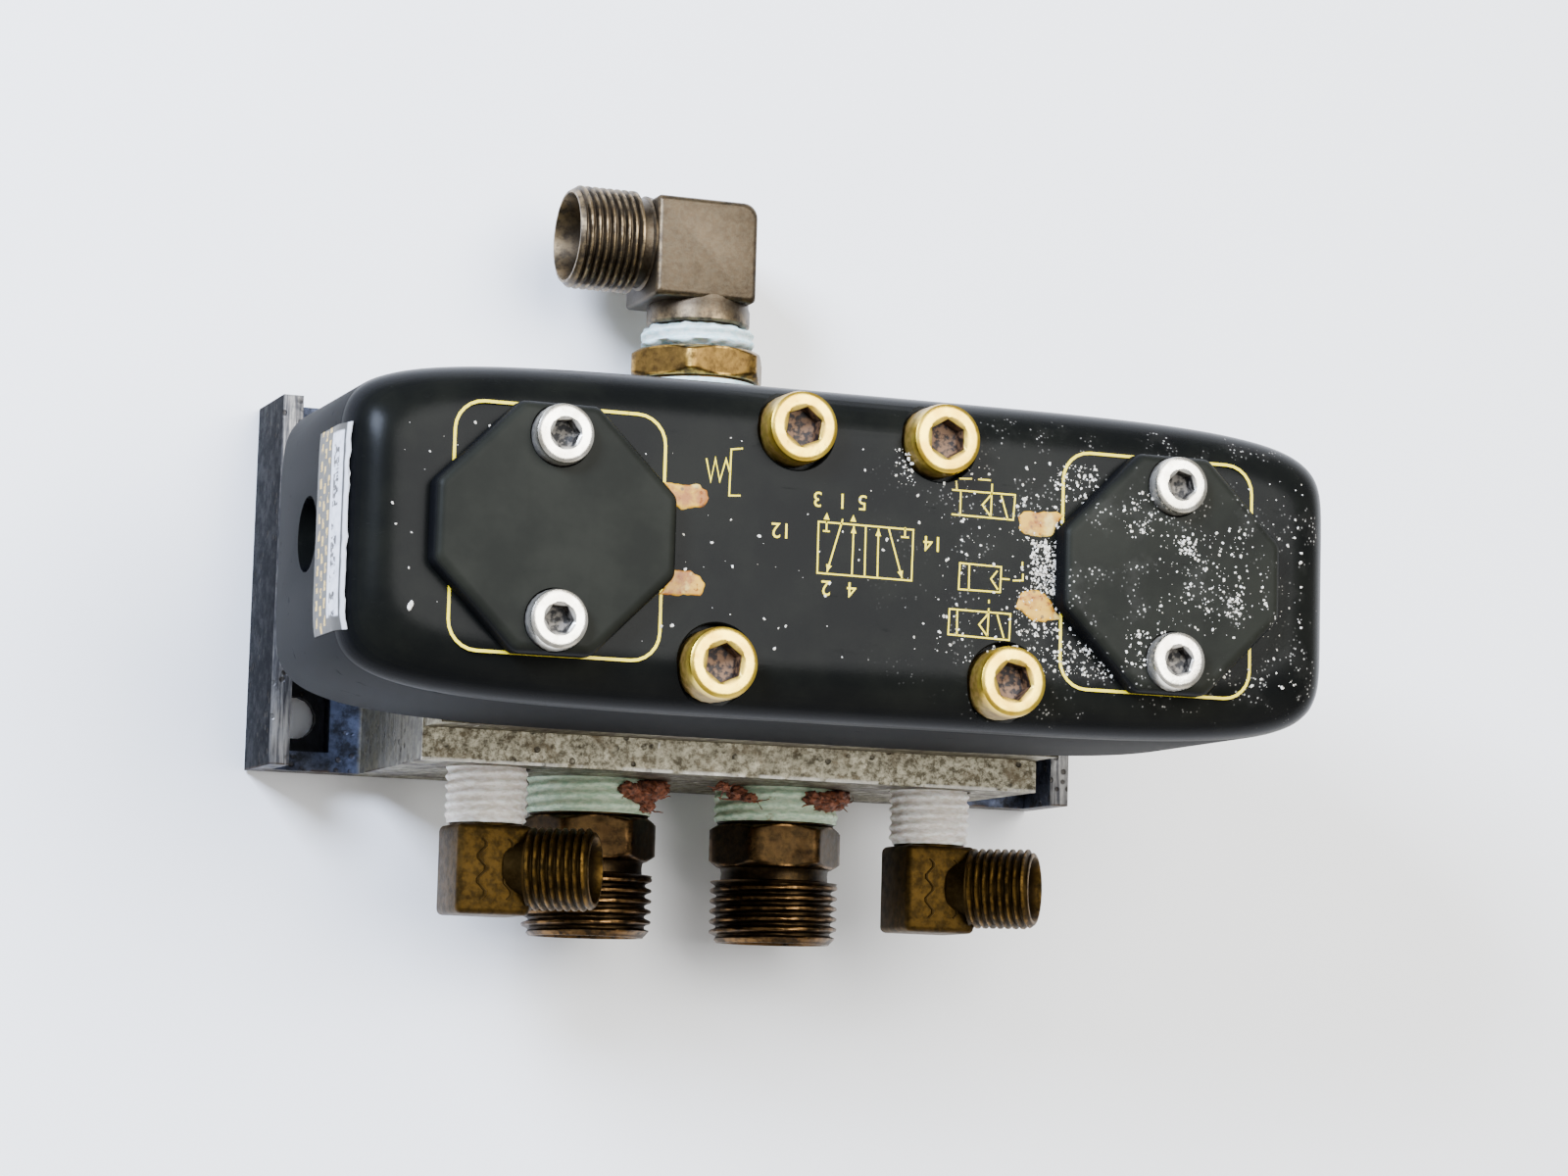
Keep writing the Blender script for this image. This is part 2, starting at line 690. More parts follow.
# Filler, brushed on and weathered: chalky orange with cream patches and rusty specks.
TAB_PAINT = StickerFinish(
    "filler_brushed_weathered_orange", "black_paint", "#C09000", "#8E5200", (0.5, 0.75)
)
# Plaster, broken to crumbs: chalky white, with no highlight.
DUST_FLAKE = Finish(
    "plaster_crumbs_scattered", "black_paint", "#E9E6DC", "#BDB6A6", (0.6, 0.8), 0.6, 0.02
)
# Hemp in pipe sealant, hardened: crusty red brown.
OLD_SEALANT = Finish(
    "hemp_sealant_hardened_brown", "ptfe_tape", "#8E5234", "#4A2918", (0.5, 0.8), 0.7, 0.12
)
# Board, painted matt: an even white ground that shows only soft shadows.
PLAIN_FLOOR = Finish("board_painted_matt_white", "", "#FAFAF9", "#F8F8F7", (0.8, 0.9), 60.0, 0.001)


# ---------------------------------------------------------------- shapes


@dataclass
class Ring:
    """One ring of a turned piece: its place along the axis, its radius and its two surface marks."""

    place: float
    radius: Radius
    wear: Radius = 0.0
    grime: float = 0.0


def value_at(item: Radius, angle: float) -> float:
    """Read a number that may depend on the angle round the axis."""
    return item(angle) if callable(item) else item


def along(axis: Point, centre: Point) -> Matrix:
    """The matrix that lays a body turned about Z along another direction, from a centre in mm."""
    turn = Vector(UP).rotation_difference(Vector(axis)).to_matrix().to_4x4()
    return Matrix.Translation(centre) @ turn


def loft(rings: Sequence[Sequence[Point]], wrap: bool = False) -> bmesh.types.BMesh:
    """Join rings of equal length into one closed skin.

    Args:
        rings: Points of each ring, in order round it.
        wrap: Whether the last ring joins the first instead of both being capped.

    Returns:
        The closed mesh.
    """
    bm = bmesh.new()
    rows = [[bm.verts.new(p) for p in ring] for ring in rings]
    pairs = list(zip(rows, rows[1:] + rows[:1])) if wrap else list(zip(rows, rows[1:]))
    for low, high in pairs:
        count = len(low)
        for k in range(count):
            bm.faces.new((low[k], low[(k + 1) % count], high[(k + 1) % count], high[k]))
    if not wrap:
        bm.faces.new(list(reversed(rows[0])))
        bm.faces.new(rows[-1])
    bmesh.ops.recalc_face_normals(bm, faces=bm.faces[:])
    return bm


def lathe(
    profile: Sequence[Ring], columns: int, axis: Point, centre: Point, phase: float = 0.0, wrap: bool = False
) -> bmesh.types.BMesh:
    """Turn a profile round an axis, with a radius that may change with the angle.

    Args:
        profile: The rings from one end to the other.
        columns: Points round each ring.
        axis: Direction of the axis.
        centre: Start of the axis in mm.
        phase: Angle of the first column in radians.
        wrap: Whether the profile closes on itself.

    Returns:
        The turned mesh with wear and grime stored on its points.
    """
    angles = [phase + 2 * math.pi * k / columns for k in range(columns)]
    rings = []
    marks = []
    for ring in profile:
        for a in angles:
            marks.append((value_at(ring.wear, a), ring.grime))
        radii = [value_at(ring.radius, a) for a in angles]
        rings.append([(r * math.cos(a), r * math.sin(a), ring.place) for r, a in zip(radii, angles)])
    bm = loft(rings, wrap)
    wear = bm.verts.layers.float.new("wear")
    grime = bm.verts.layers.float.new("grime")
    bm.verts.ensure_lookup_table()
    for vertex, (worn, dirty) in zip(bm.verts, marks):
        vertex[wear] = worn
        vertex[grime] = dirty
    bmesh.ops.transform(bm, matrix=along(axis, centre), verts=bm.verts[:])
    return bm


def thread(start: float, end: float, major: float, pitch: float, depth: float) -> list[Ring]:
    """The rings of a rounded screw thread with a run-in and a chamfered end.

    Args:
        start: Where the thread starts along the axis.
        end: Where it ends.
        major: Crest radius.
        pitch: Distance between crests.
        depth: Crest to root.

    Returns:
        The rings in order.
    """
    count = max(4, round((end - start) / pitch * 8))
    rings = []
    for k in range(count + 1):
        s = start + (end - start) * k / count
        fade = min(1.0, (s - start) / (0.6 * pitch))
        lead = max(0.0, 1 - (end - s) / (0.7 * pitch))

        def height(angle: float, s: float = s) -> float:
            """How deep the groove is here.

            Args:
                angle: The angle round the axis.
                s: The place along the axis.

            Returns:
                Zero at a crest and one at a root.
            """
            u = (s / pitch - angle / (2 * math.pi)) % 1.0
            t = min(1.0, max(0.0, (abs(u - 0.5) * 2 - 0.18) / 0.62))
            return 1 - t * t * (3 - 2 * t)

        def radius(angle: float, f: float = fade, lead: float = lead, h: Callable = height) -> float:
            """Radius with the groove cut in."""
            return major - depth * max(h(angle) * f, lead * 0.95)

        def worn(angle: float, h: Callable = height) -> float:
            """Crests are rubbed, roots are not."""
            return max(0.0, 1 - 1.7 * h(angle))

        rings.append(Ring(s, radius, worn))
    return rings


def hexagon(start: float, end: float, flats: float, corners: float, phase: float) -> list[Ring]:
    """The rings of a hexagon with turned-down corners at both ends.

    Args:
        start: Where the hexagon starts.
        end: Where it ends.
        flats: Width across flats.
        corners: Width across corners.
        phase: Angle of one corner in radians.

    Returns:
        The rings in order.
    """
    steps = (0.0, 0.12, 0.26, 0.42, 0.6, 0.8)
    places = [start + s for s in steps] + [end - s for s in reversed(steps)]
    rings = []
    for place in places:
        reach = min(place - start, end - place)
        limit = min(corners / 2, flats / 2 * 0.985 + reach * 1.55)

        def radius(angle: float, limit: float = limit) -> float:
            """Flat, or the turned-down corner where that is nearer."""
            off = (angle - phase) % (math.pi / 3) - math.pi / 6
            return min(flats / 2 / math.cos(off), limit)

        def worn(angle: float, reach: float = reach) -> float:
            """Corners and end edges are rubbed."""
            off = abs((angle - phase) % (math.pi / 3) - math.pi / 6)
            return 1.0 if off > math.radians(26) or reach < 0.3 else 0.15

        rings.append(Ring(place, radius, worn))
    return rings


def rounded_polygon(
    corners: Sequence[Point], radius: Union[float, Sequence[float]], steps: int = 6
) -> list[tuple[float, float]]:
    """A polygon whose corners are rounded.

    Args:
        corners: The sharp corners in order.
        radius: Rounding radius in mm, one for all or one for each corner.
        steps: Points on each corner, less one.

    Returns:
        The outline points.
    """
    points = []
    count = len(corners)
    for k in range(count):
        bend = radius[k] if isinstance(radius, (list, tuple)) else radius
        here = Vector(corners[k])
        back = (Vector(corners[k - 1]) - here).normalized()
        ahead = (Vector(corners[(k + 1) % count]) - here).normalized()
        half = back.angle(ahead) / 2
        middle = here + (back + ahead).normalized() * (bend / math.sin(half))
        first = here + back * (bend / math.tan(half)) - middle
        last = here + ahead * (bend / math.tan(half)) - middle
        sweep = first.angle_signed(last)
        for step in range(steps + 1):
            spin = -sweep * step / steps
            offset = Matrix.Rotation(spin, 2) @ first
            points.append(tuple(middle + offset))
    return points


def stroke(bm: bmesh.types.BMesh, points: Sequence[Point], width: float, closed: bool = False) -> None:
    """Lay a thin flat line on the valve's face.

    Args:
        bm: The mesh to add to.
        points: The line's points in X and Y.
        width: Line width in mm.
        closed: Whether the line joins its ends.
    """
    line = [Vector(p) for p in points]
    count = len(line)
    sides = []
    for k, here in enumerate(line):
        back = line[k - 1] if closed or k else None
        ahead = line[(k + 1) % count] if closed or k < count - 1 else None
        into = (here - back).normalized() if back is not None else (ahead - here).normalized()
        out = (ahead - here).normalized() if ahead is not None else into
        normal = Vector((-(into + out).y, (into + out).x)).normalized()
        square = Vector((-into.y, into.x))
        reach = width / 2 / max(0.35, normal.dot(square))
        sides.append((here + normal * reach, here - normal * reach))
    low, high = INK_LOW, INK_HIGH
    rows = []
    for left, right in sides:
        ring = ((*left, low), (*left, high), (*right, high), (*right, low))
        rows.append([bm.verts.new(p) for p in ring])
    pairs = list(zip(rows, rows[1:] + rows[:1])) if closed else list(zip(rows, rows[1:]))
    for first, second in pairs:
        for k in range(4):
            bm.faces.new((first[k], first[(k + 1) % 4], second[(k + 1) % 4], second[k]))
    if not closed:
        bm.faces.new(list(reversed(rows[0])))
        bm.faces.new(rows[-1])


def patch(bm: bmesh.types.BMesh, outline: Sequence[Point], low: float, high: float) -> None:
    """Raise a flat outline into a thin prism.

    Args:
        bm: The mesh to add to.
        outline: The outline's points in X and Y.
        low: Height of its underside.
        high: Height of its top.
    """
    rows = [[bm.verts.new((x, y, z)) for x, y in outline] for z in (low, high)]
    count = len(outline)
    for k in range(count):
        bm.faces.new((rows[0][k], rows[0][(k + 1) % count], rows[1][(k + 1) % count], rows[1][k]))
    bm.faces.new(list(reversed(rows[0])))
    bm.faces.new(rows[1])


def as_mesh(bm: bmesh.types.BMesh, name: str) -> bpy.types.Mesh:
    """Turn a mesh under construction, given in mm, into a finished one in metres.

    Args:
        bm: The mesh under construction, which is used up.
        name: The finished mesh's name.

    Returns:
        The finished mesh.
    """
    bmesh.ops.scale(bm, vec=(MM, MM, MM), verts=bm.verts[:])
    bmesh.ops.recalc_face_normals(bm, faces=bm.faces[:])
    mesh = bpy.data.meshes.new(name)
    bm.to_mesh(mesh)
    bm.free()
    return mesh


def linked(name: str, mesh: bpy.types.ID) -> bpy.types.Object:
    """Put a mesh or a curve in the scene as an object at the origin.

    Args:
        name: The object's name.
        mesh: Its mesh or curve.

    Returns:
        The object.
    """
    obj = bpy.data.objects.new(name, mesh)
    bpy.context.scene.collection.objects.link(obj)
    return obj


def placed(name: str, bm: bmesh.types.BMesh) -> bpy.types.Object:
    """Put a mesh under construction in the scene, where it is."""
    return linked(name, as_mesh(bm, name))


def bake(obj: bpy.types.Object) -> bpy.types.Object:
    """Apply an object's modifiers and drop them.

    Args:
        obj: The object.

    Returns:
        The object, with the result as its own mesh.
    """
    graph = bpy.context.evaluated_depsgraph_get()
    graph.update()
    mesh = bpy.data.meshes.new_from_object(obj.evaluated_get(graph), depsgraph=graph)
    obj.modifiers.clear()
    obj.data = mesh
    return obj


def carve(obj: bpy.types.Object, tools: Sequence[bmesh.types.BMesh]) -> None:
    """Cut closed shapes out of a piece.

    Args:
        obj: The piece.
        tools: The shapes to cut out, in mm, which are used up.
    """
    cutters = [placed("tool", bm) for bm in tools]
    for cutter in cutters:
        cut = obj.modifiers.new("cut", "BOOLEAN")
        cut.operation = "DIFFERENCE"
        cut.solver = "EXACT"
        cut.object = cutter
    bake(obj)
    for cutter in cutters:
        bpy.data.objects.remove(cutter)


def absorb(whole: bmesh.types.BMesh, part: bmesh.types.BMesh) -> None:
    """Move one mesh under construction into another.

    Args:
        whole: The mesh to add to.
        part: The mesh to add, which is used up.
    """
    mesh = bpy.data.meshes.new("part")
    part.to_mesh(mesh)
    part.free()
    whole.from_mesh(mesh)
    bpy.data.meshes.remove(mesh)


def combined(parts: Sequence[bmesh.types.BMesh]) -> bmesh.types.BMesh:
    """Put several meshes in one, keeping their stored marks.

    Args:
        parts: The meshes, which are used up.

    Returns:
        The one mesh.
    """
    whole = bmesh.new()
    whole.verts.layers.float.new("wear")
    whole.verts.layers.float.new("grime")
    for part in parts:
        absorb(whole, part)
    return whole


def bevelled_box(low: Point, high: Point, edge: float, steps: int = 3) -> bmesh.types.BMesh:
    """A block whose edges are rounded and marked as worn.

    Args:
        low: Lowest corner in mm.
        high: Highest corner.
        edge: Rounding of the edges.
        steps: Segments across each edge.

    Returns:
        The block.
    """
    bm = bmesh.new()
    bmesh.ops.create_cube(bm, size=1)
    for vertex in bm.verts:
        vertex.co = Vector([(a + b) / 2 + c * (b - a) for a, b, c in zip(low, high, vertex.co)])
    wear = bm.verts.layers.float.new("wear")
    bm.verts.layers.float.new("grime")
    made = bmesh.ops.bevel(bm, geom=bm.edges[:], offset=edge, segments=steps, profile=0.5, affect="EDGES")
    for vertex in made["verts"]:
        vertex[wear] = 0.3
    return bm


class Repeat:
    """A Geometry Nodes tree that repeats one small mesh, and how its inputs are filled."""

    def __init__(self, name: str, sockets: dict[str, str]) -> None:
        """Open a tree with a geometry input and output and the named inputs.

        Args:
            name: The tree's name.
            sockets: Input name to socket type.
        """
        self.tree = bpy.data.node_groups.new(name, "GeometryNodeTree")
        face = self.tree.interface
        face.new_socket(name="Geometry", in_out="OUTPUT", socket_type="NodeSocketGeometry")
        face.new_socket(name="Geometry", in_out="INPUT", socket_type="NodeSocketGeometry")
        self.ids = {key: face.new_socket(name=key, in_out="INPUT", socket_type=kind).identifier
                    for key, kind in sockets.items()}
        self.entry = add_node(self.tree, "NodeGroupInput")

    def close(self, instances: bpy.types.NodeSocket) -> None:
        """End the tree: make the copies real and give them their material.

        Args:
            instances: The socket that gives the copies.
        """
        real = add_node(self.tree, "GeometryNodeRealizeInstances", inputs={0: instances})
        painted = add_node(
            self.tree,
            "GeometryNodeSetMaterial",
            inputs={"Geometry": real.outputs[0], "Material": self.entry.outputs["Material"]},
        )
        add_node(self.tree, "NodeGroupOutput", inputs={0: painted.outputs[0]})

    def run(self, host: bpy.types.Object, values: dict) -> bpy.types.Object:
        """Apply the tree to a host mesh with these input values and bake the result.

        Args:
            host: The object whose mesh says where the copies go.
            values: Input name to value.

        Returns:
            The host, now holding the copies.
        """
        modifier = host.modifiers.new(self.tree.name, "NODES")
        modifier.node_group = self.tree
        for key, value in values.items():
            modifier[self.ids[key]] = value
        return bake(host)


def placed_copies() -> Repeat:
    """A tree that puts one prototype on every point of the host, turned by the point's own angle.

    Returns:
        The tree, with its inputs still to be filled.
    """
    repeat = Repeat("placed_copies", {"Prototype": "NodeSocketObject", "Material": "NodeSocketMaterial"})
    tree, entry = repeat.tree, repeat.entry
    shape = add_node(tree, "GeometryNodeObjectInfo", inputs={"Object": entry.outputs["Prototype"]})
    turn = add_node(tree, "GeometryNodeInputNamedAttribute", {"data_type": "FLOAT"}, {"Name": "turn"})
    spin = add_node(tree, "ShaderNodeCombineXYZ", inputs={2: turn.outputs[0]})
    copies = add_node(
        tree,
        "GeometryNodeInstanceOnPoints",
        inputs={
            "Points": entry.outputs["Geometry"],
            "Instance": shape.outputs["Geometry"],
            "Rotation": spin.outputs[0],
        },
    )
    repeat.close(copies.outputs[0])
    return repeat


def scattered_copies() -> Repeat:
    """A tree that strews a prototype over the host's faces, each copy turned and sized at random.

    Returns:
        The tree, with its inputs still to be filled.
    """
    kinds = {
        "Prototype": "NodeSocketObject", "Density": "NodeSocketFloat", "Smallest": "NodeSocketFloat",
        "Largest": "NodeSocketFloat", "Seed": "NodeSocketInt", "Material": "NodeSocketMaterial",
    }
    repeat = Repeat("scattered_copies", kinds)
    tree, entry = repeat.tree, repeat.entry
    local = add_node(tree, "GeometryNodeInputNamedAttribute", {"data_type": "FLOAT"}, {"Name": "density"})
    amount = add_node(
        tree, "ShaderNodeMath", {"operation": "MULTIPLY"}, {0: local.outputs[0], 1: entry.outputs["Density"]}
    )
    points = add_node(
        tree,
        "GeometryNodeDistributePointsOnFaces",
        inputs={
            "Mesh": entry.outputs["Geometry"],
            "Density": amount.outputs[0],
            "Seed": entry.outputs["Seed"],
        },
    )
    shape = add_node(tree, "GeometryNodeObjectInfo", inputs={"Object": entry.outputs["Prototype"]})
    turned = add_node(
        tree,
        "FunctionNodeRandomValue",
        {"data_type": "FLOAT_VECTOR"},
        {0: (-0.35, -0.35, 0.0), 1: (0.35, 0.35, 6.28), "Seed": entry.outputs["Seed"]},
    )
    skew = add_node(tree, "FunctionNodeRandomValue", {"data_type": "FLOAT"}, {2: 0.0, 3: 1.0, "Seed": 11})
    cubed = add_node(tree, "ShaderNodeMath", {"operation": "POWER"}, {0: skew.outputs[1], 1: 2.6})
    size = add_node(
        tree,
        "ShaderNodeMapRange",
        inputs={
            "Value": cubed.outputs[0],
            "To Min": entry.outputs["Smallest"],
            "To Max": entry.outputs["Largest"],
        },
    )
    copies = add_node(
        tree,
        "GeometryNodeInstanceOnPoints",
        inputs={
            "Points": points.outputs[0],
            "Instance": shape.outputs["Geometry"],
            "Rotation": turned.outputs[0],
            "Scale": size.outputs[0],
        },
    )
    repeat.close(copies.outputs[0])
    return repeat


# ---------------------------------------------------------------- sub-assemblies


@dataclass
class SubAssembly:
    """A group of pieces that one class builds and hands to the frame."""

    body: Body = Body.VALVE
    pieces: list[bpy.types.Object] = field(default_factory=list)

    def hand_over(
        self, obj: bpy.types.Object, finish: Finish, nodes: Sequence[str] = (), crease: float = 35.0
    ) -> bpy.types.Object:
        """Paint a finished piece, smooth it and give it to its body.

        Args:
            obj: The piece, at the origin.
            finish: Its surface.
            nodes: CAD nodes that it stands for.
            crease: Angle in degrees above which an edge stays sharp.

        Returns:
            The piece.
        """
        obj.data.materials.clear()
        obj.data.materials.append(finish.material())
        obj.data.shade_smooth()
        obj.data.set_sharp_from_angle(angle=math.radians(crease))
        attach(obj, self.body.value)
        if nodes:
            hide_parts(*nodes)
        self.pieces.append(obj)
        stands_for = ", ".join(nodes) or "detail"
        LOG.info("%s: %d faces, stands for %s", obj.name, len(obj.data.polygons), stands_for)
        return obj


def casing_ring(half_x: float, half_y: float, z: float, count: int = 176) -> list[tuple[float, float, float]]:
    """The valve's squared-off oval outline at one height.

    Args:
        half_x: Half its length.
        half_y: Half its width.
        z: The height.
        count: How many points it has.

    Returns:
        The points in order.
    """
    points = []
    for k in range(count):
        a = 2 * math.pi * (k + 0.5) / count
        c, s = math.cos(a), math.sin(a)
        x = math.copysign(half_x * abs(c) ** (2 / 4.7), c)
        y = math.copysign(half_y * abs(s) ** (2 / 8.0), s)
        points.append((x, y, z))
    return points


@dataclass
class Casing(SubAssembly):
    """The painted casting: walls, rounded top edge, spot faces, recesses and the pilot hole."""

    half_x: float = 62.0
    half_y: float = 19.7
    low: float = 42.9
    round_x: float = 6.5
    round_y: float = 7.0
    wall: float = 2.6
    roof: float = 70.5
    bolts: tuple[tuple[float, float], ...] = ((-9, 14), (9, 14), (-18, -14), (18, -14))
    spot_radius: float = 4.75

    def top_edge(self) -> list[tuple[float, float, float]]:
        """The rounding of the top edge, a quarter of an ellipse.

        Returns:
            Inset in X, inset in Y and height of each ring.
        """
        rings = []
        for k in range(13):
            a = math.pi / 2 * k / 12
            inset = 1 - math.cos(a)
            z = WALL_TOP_Z + (FACE_Z - WALL_TOP_Z) * math.sin(a)
            rings.append((self.round_x * inset, self.round_y * inset, z))
        return rings

    def shell(self) -> bmesh.types.BMesh:
        """The outside of the casting as one closed skin.

        Returns:
            The skin.
        """
        rings = [casing_ring(self.half_x - 0.5, self.half_y - 0.5, self.low)]
        rings.append(casing_ring(self.half_x - 0.1, self.half_y - 0.1, self.low + 0.4))
        rings.append(casing_ring(self.half_x, self.half_y, self.low + 0.8))
        for inset_x, inset_y, z in self.top_edge():
            rings.append(casing_ring(self.half_x - inset_x, self.half_y - inset_y, z))
        return loft(rings)

    def cutters(self) -> list[bmesh.types.BMesh]:
        """Everything that is cut out of the casting: its inside, bolt seats, plate wells and pilot hole.

        Returns:
            The shapes to cut out.
        """
        half_x, half_y = self.half_x - self.wall, self.half_y - self.wall
        tools = [loft([casing_ring(half_x, half_y, z, 96) for z in (40, self.roof)])]
        for x, y in self.bolts:
            seat, lip = self.spot_radius, self.spot_radius + 0.2
            steps = [Ring(73.4, seat), Ring(75.8, seat), Ring(76.02, lip), Ring(79, lip)]
            tools.append(lathe(steps, 64, UP, (x, y, 0)))
            tools.append(lathe([Ring(60, 2.7), Ring(74, 2.7)], 24, UP, (x, y, 0)))
        for side in (-1, 1):
            well = bmesh.new()
            patch(well, PlateSet.outline(side * PLATE_X, 1.1), 75.1, 78)
            tools.append(well)
        pilot = [Ring(-64, 4.6), Ring(-61.6, 4.4), Ring(-58.5, 4.4)]
        tools.append(lathe(pilot, 48, (1, 0, 0), (0, 0, SPOOL_Z)))
        return tools

    def build(self) -> None:
        """Make the casting and the chip of plaster on its rounded edge."""
        shell = placed("valve_casing_shell", self.shell())
        carve(shell, self.cutters())
        self.hand_over(shell, CASING_PAINT, ["valve_casing"], 32)
        chip = bmesh.new()
        bmesh.ops.create_icosphere(chip, subdivisions=2, radius=0.6)
        for vertex in chip.verts:
            x, y, z = vertex.co
            vertex.co = Vector((x * 0.5 + y * 0.25, y * 1.1, z * 0.35))
            vertex.co += noise.noise_vector(vertex.co * 2.0) * 0.12
        bmesh.ops.transform(chip, matrix=Matrix.Translation((-54.4, -9.6, 76.05)), verts=chip.verts[:])
        self.hand_over(placed("casing_paint_chip", chip), DUST_FLAKE)


@dataclass
class FacePrint(SubAssembly):
    """The yellow symbols printed on the valve's face and the worn patches beside them."""

    thin: float = 0.19
    thick: float = 0.36
    digit: float = 2.55

    def frames(self, bm: bmesh.types.BMesh) -> None:
        """The two rounded squares round the blanking plates.

        Args:
            bm: The mesh to add to.
        """
        for side in (-1, 1):
            middle, half, tall = side * 37.5, 12.5, 14.15
            left, right = middle - half, middle + half
            corners = [(left, -tall), (right, -tall), (right, tall), (left, tall)]
            stroke(bm, rounded_polygon(corners, 3.4), self.thick, True)

    def arrow(self, bm: bmesh.types.BMesh, tail: Point, head: Point, size: float = 0.85) -> None:
        """A line that ends in a filled arrowhead.

        Args:
            bm: The mesh to add to.
            tail: Start of the line.
            head: Tip of the arrow.
            size: Length of the arrowhead.
        """
        stroke(bm, (tail, head), self.thin)
        tip, way = Vector(head), (Vector(head) - Vector(tail)).normalized()
        across = Vector((-way.y, way.x)) * size * 0.42
        back = tip - way * size
        patch(bm, [tuple(tip), tuple(back + across), tuple(back - across)], INK_LOW, INK_HIGH + 0.002)

    def valve_symbol(self, bm: bmesh.types.BMesh) -> None:
        """The five-port, two-position valve symbol.

        Args:
            bm: The mesh to add to.
        """
        thin = self.thin
        stroke(bm, ((-6, 3.4), (5.9, 3.3), (5.8, -2.7), (-6, -2.6)), thin, True)
        stroke(bm, ((-0.1, 3.3), (-0.1, -2.6)), thin)
        self.arrow(bm, (-3, 3.9), (-4.8, -2.4))
        self.arrow(bm, (-1.7, -2.6), (-1.6, 3.2))
        self.arrow(bm, (1.5, -2.6), (1.5, 3.1))
        self.arrow(bm, (2.8, 3.2), (4.6, -2.5))
        for x, bar in ((-5.0, 0.42), (4.85, 0.5)):
            stroke(bm, ((x, 3.5), (x, 2.4)), thin)
            stroke(bm, ((x - bar, 2.35), (x + bar, 2.35)), thin)
        for x in (-5.0, -1.68):
            patch(bm, [(x - 0.38, 3.72), (x + 0.36, 3.7), (x, 4.5)], INK_LOW, INK_HIGH)

    def pilot_symbols(self, bm: bmesh.types.BMesh) -> None:
        """The air pilot symbols on one side and the spring on the other.

        Args:
            bm: The mesh to add to.
        """
        thin = self.thin
        lines = [
            ((10.7, 8.4), (18.8, 8.4), (18.6, 5.4), (10.7, 5.5)),
            ((11.8, 8.3), (11.8, 5.5)), ((15.8, 9.5), (15.7, 5.6)),
            ((15.8, 8.3), (14.6, 6.9), (15.7, 5.6)), ((17, 8.2), (17.9, 5.4)), ((11.2, 9.5), (11.3, 8.5)),
            ((11.6, 9.8), (13.2, 9.9)), ((14, 9.9), (15.6, 9.9)),
            ((13.1, -0.3), (13.1, -3.3)), ((16.7, -0.8), (15.9, -1.8), (16.8, -3.0)),
            ((17.3, -1.7), (18.3, -1.7)), ((18.7, -1.8), (20, -1.7), (20, -0.9)), ((19.9, -0.3), (19.9, 0.5)),
            ((11.7, -5.8), (11.7, -8.7)), ((15.7, -5.3), (15.6, -8.6)),
            ((15.6, -6), (14.5, -7.3), (15.6, -8.6)), ((16.8, -6), (17.7, -8.7)),
            ((15.7, -4.7), (15.7, -4.3)),
            ((-20, 9.7), (-19.4, 7.1), (-18.9, 9.8), (-18.3, 7.2), (-17.6, 9.8), (-17.1, 8.3)),
            ((-15.6, 11.2), (-17, 11.0), (-17.1, 5.6), (-15.7, 5.7)),
        ]
        for line in lines:
            stroke(bm, line, thin)
        stroke(bm, ((11.9, -0.2), (17.2, -0.3), (17.1, -3.3), (11.8, -3.3)), thin, True)
        stroke(bm, ((10.7, -5.7), (18.5, -5.8), (18.4, -8.9), (10.6, -8.7)), thin, True)

    def port_numbers(self, bm: bmesh.types.BMesh) -> None:
        """The port numbers, which read from the far side.

        Args:
            bm: The mesh to add to.
        """
        places = {
            "3": (-6.2, 6.1), "1": (-3.1, 6.1), "5": (-0.6, 6.1), "2": (-4.9, -4.2), "4": (-1.7, -4.2),
            "14": (8.4, 1.9), "12": (-10.6, 2.1),
        }
        for text, (x, y) in places.items():
            curve = bpy.data.curves.new(f"number_{text}", "FONT")
            curve.body = text
            curve.size = self.digit
            curve.extrude = INK_HIGH - FACE_Z
            curve.resolution_u = 3
            curve.align_x = "CENTER"
            curve.align_y = "CENTER"
            holder = linked(f"number_{text}", curve)
            graph = bpy.context.evaluated_depsgraph_get()
            mesh = bpy.data.meshes.new_from_object(holder.evaluated_get(graph))
            mesh.transform(Matrix.Translation((x, y, FACE_Z)) @ Matrix.Rotation(math.pi, 4, "Z"))
            bm.from_mesh(mesh)
            bpy.data.objects.remove(holder)

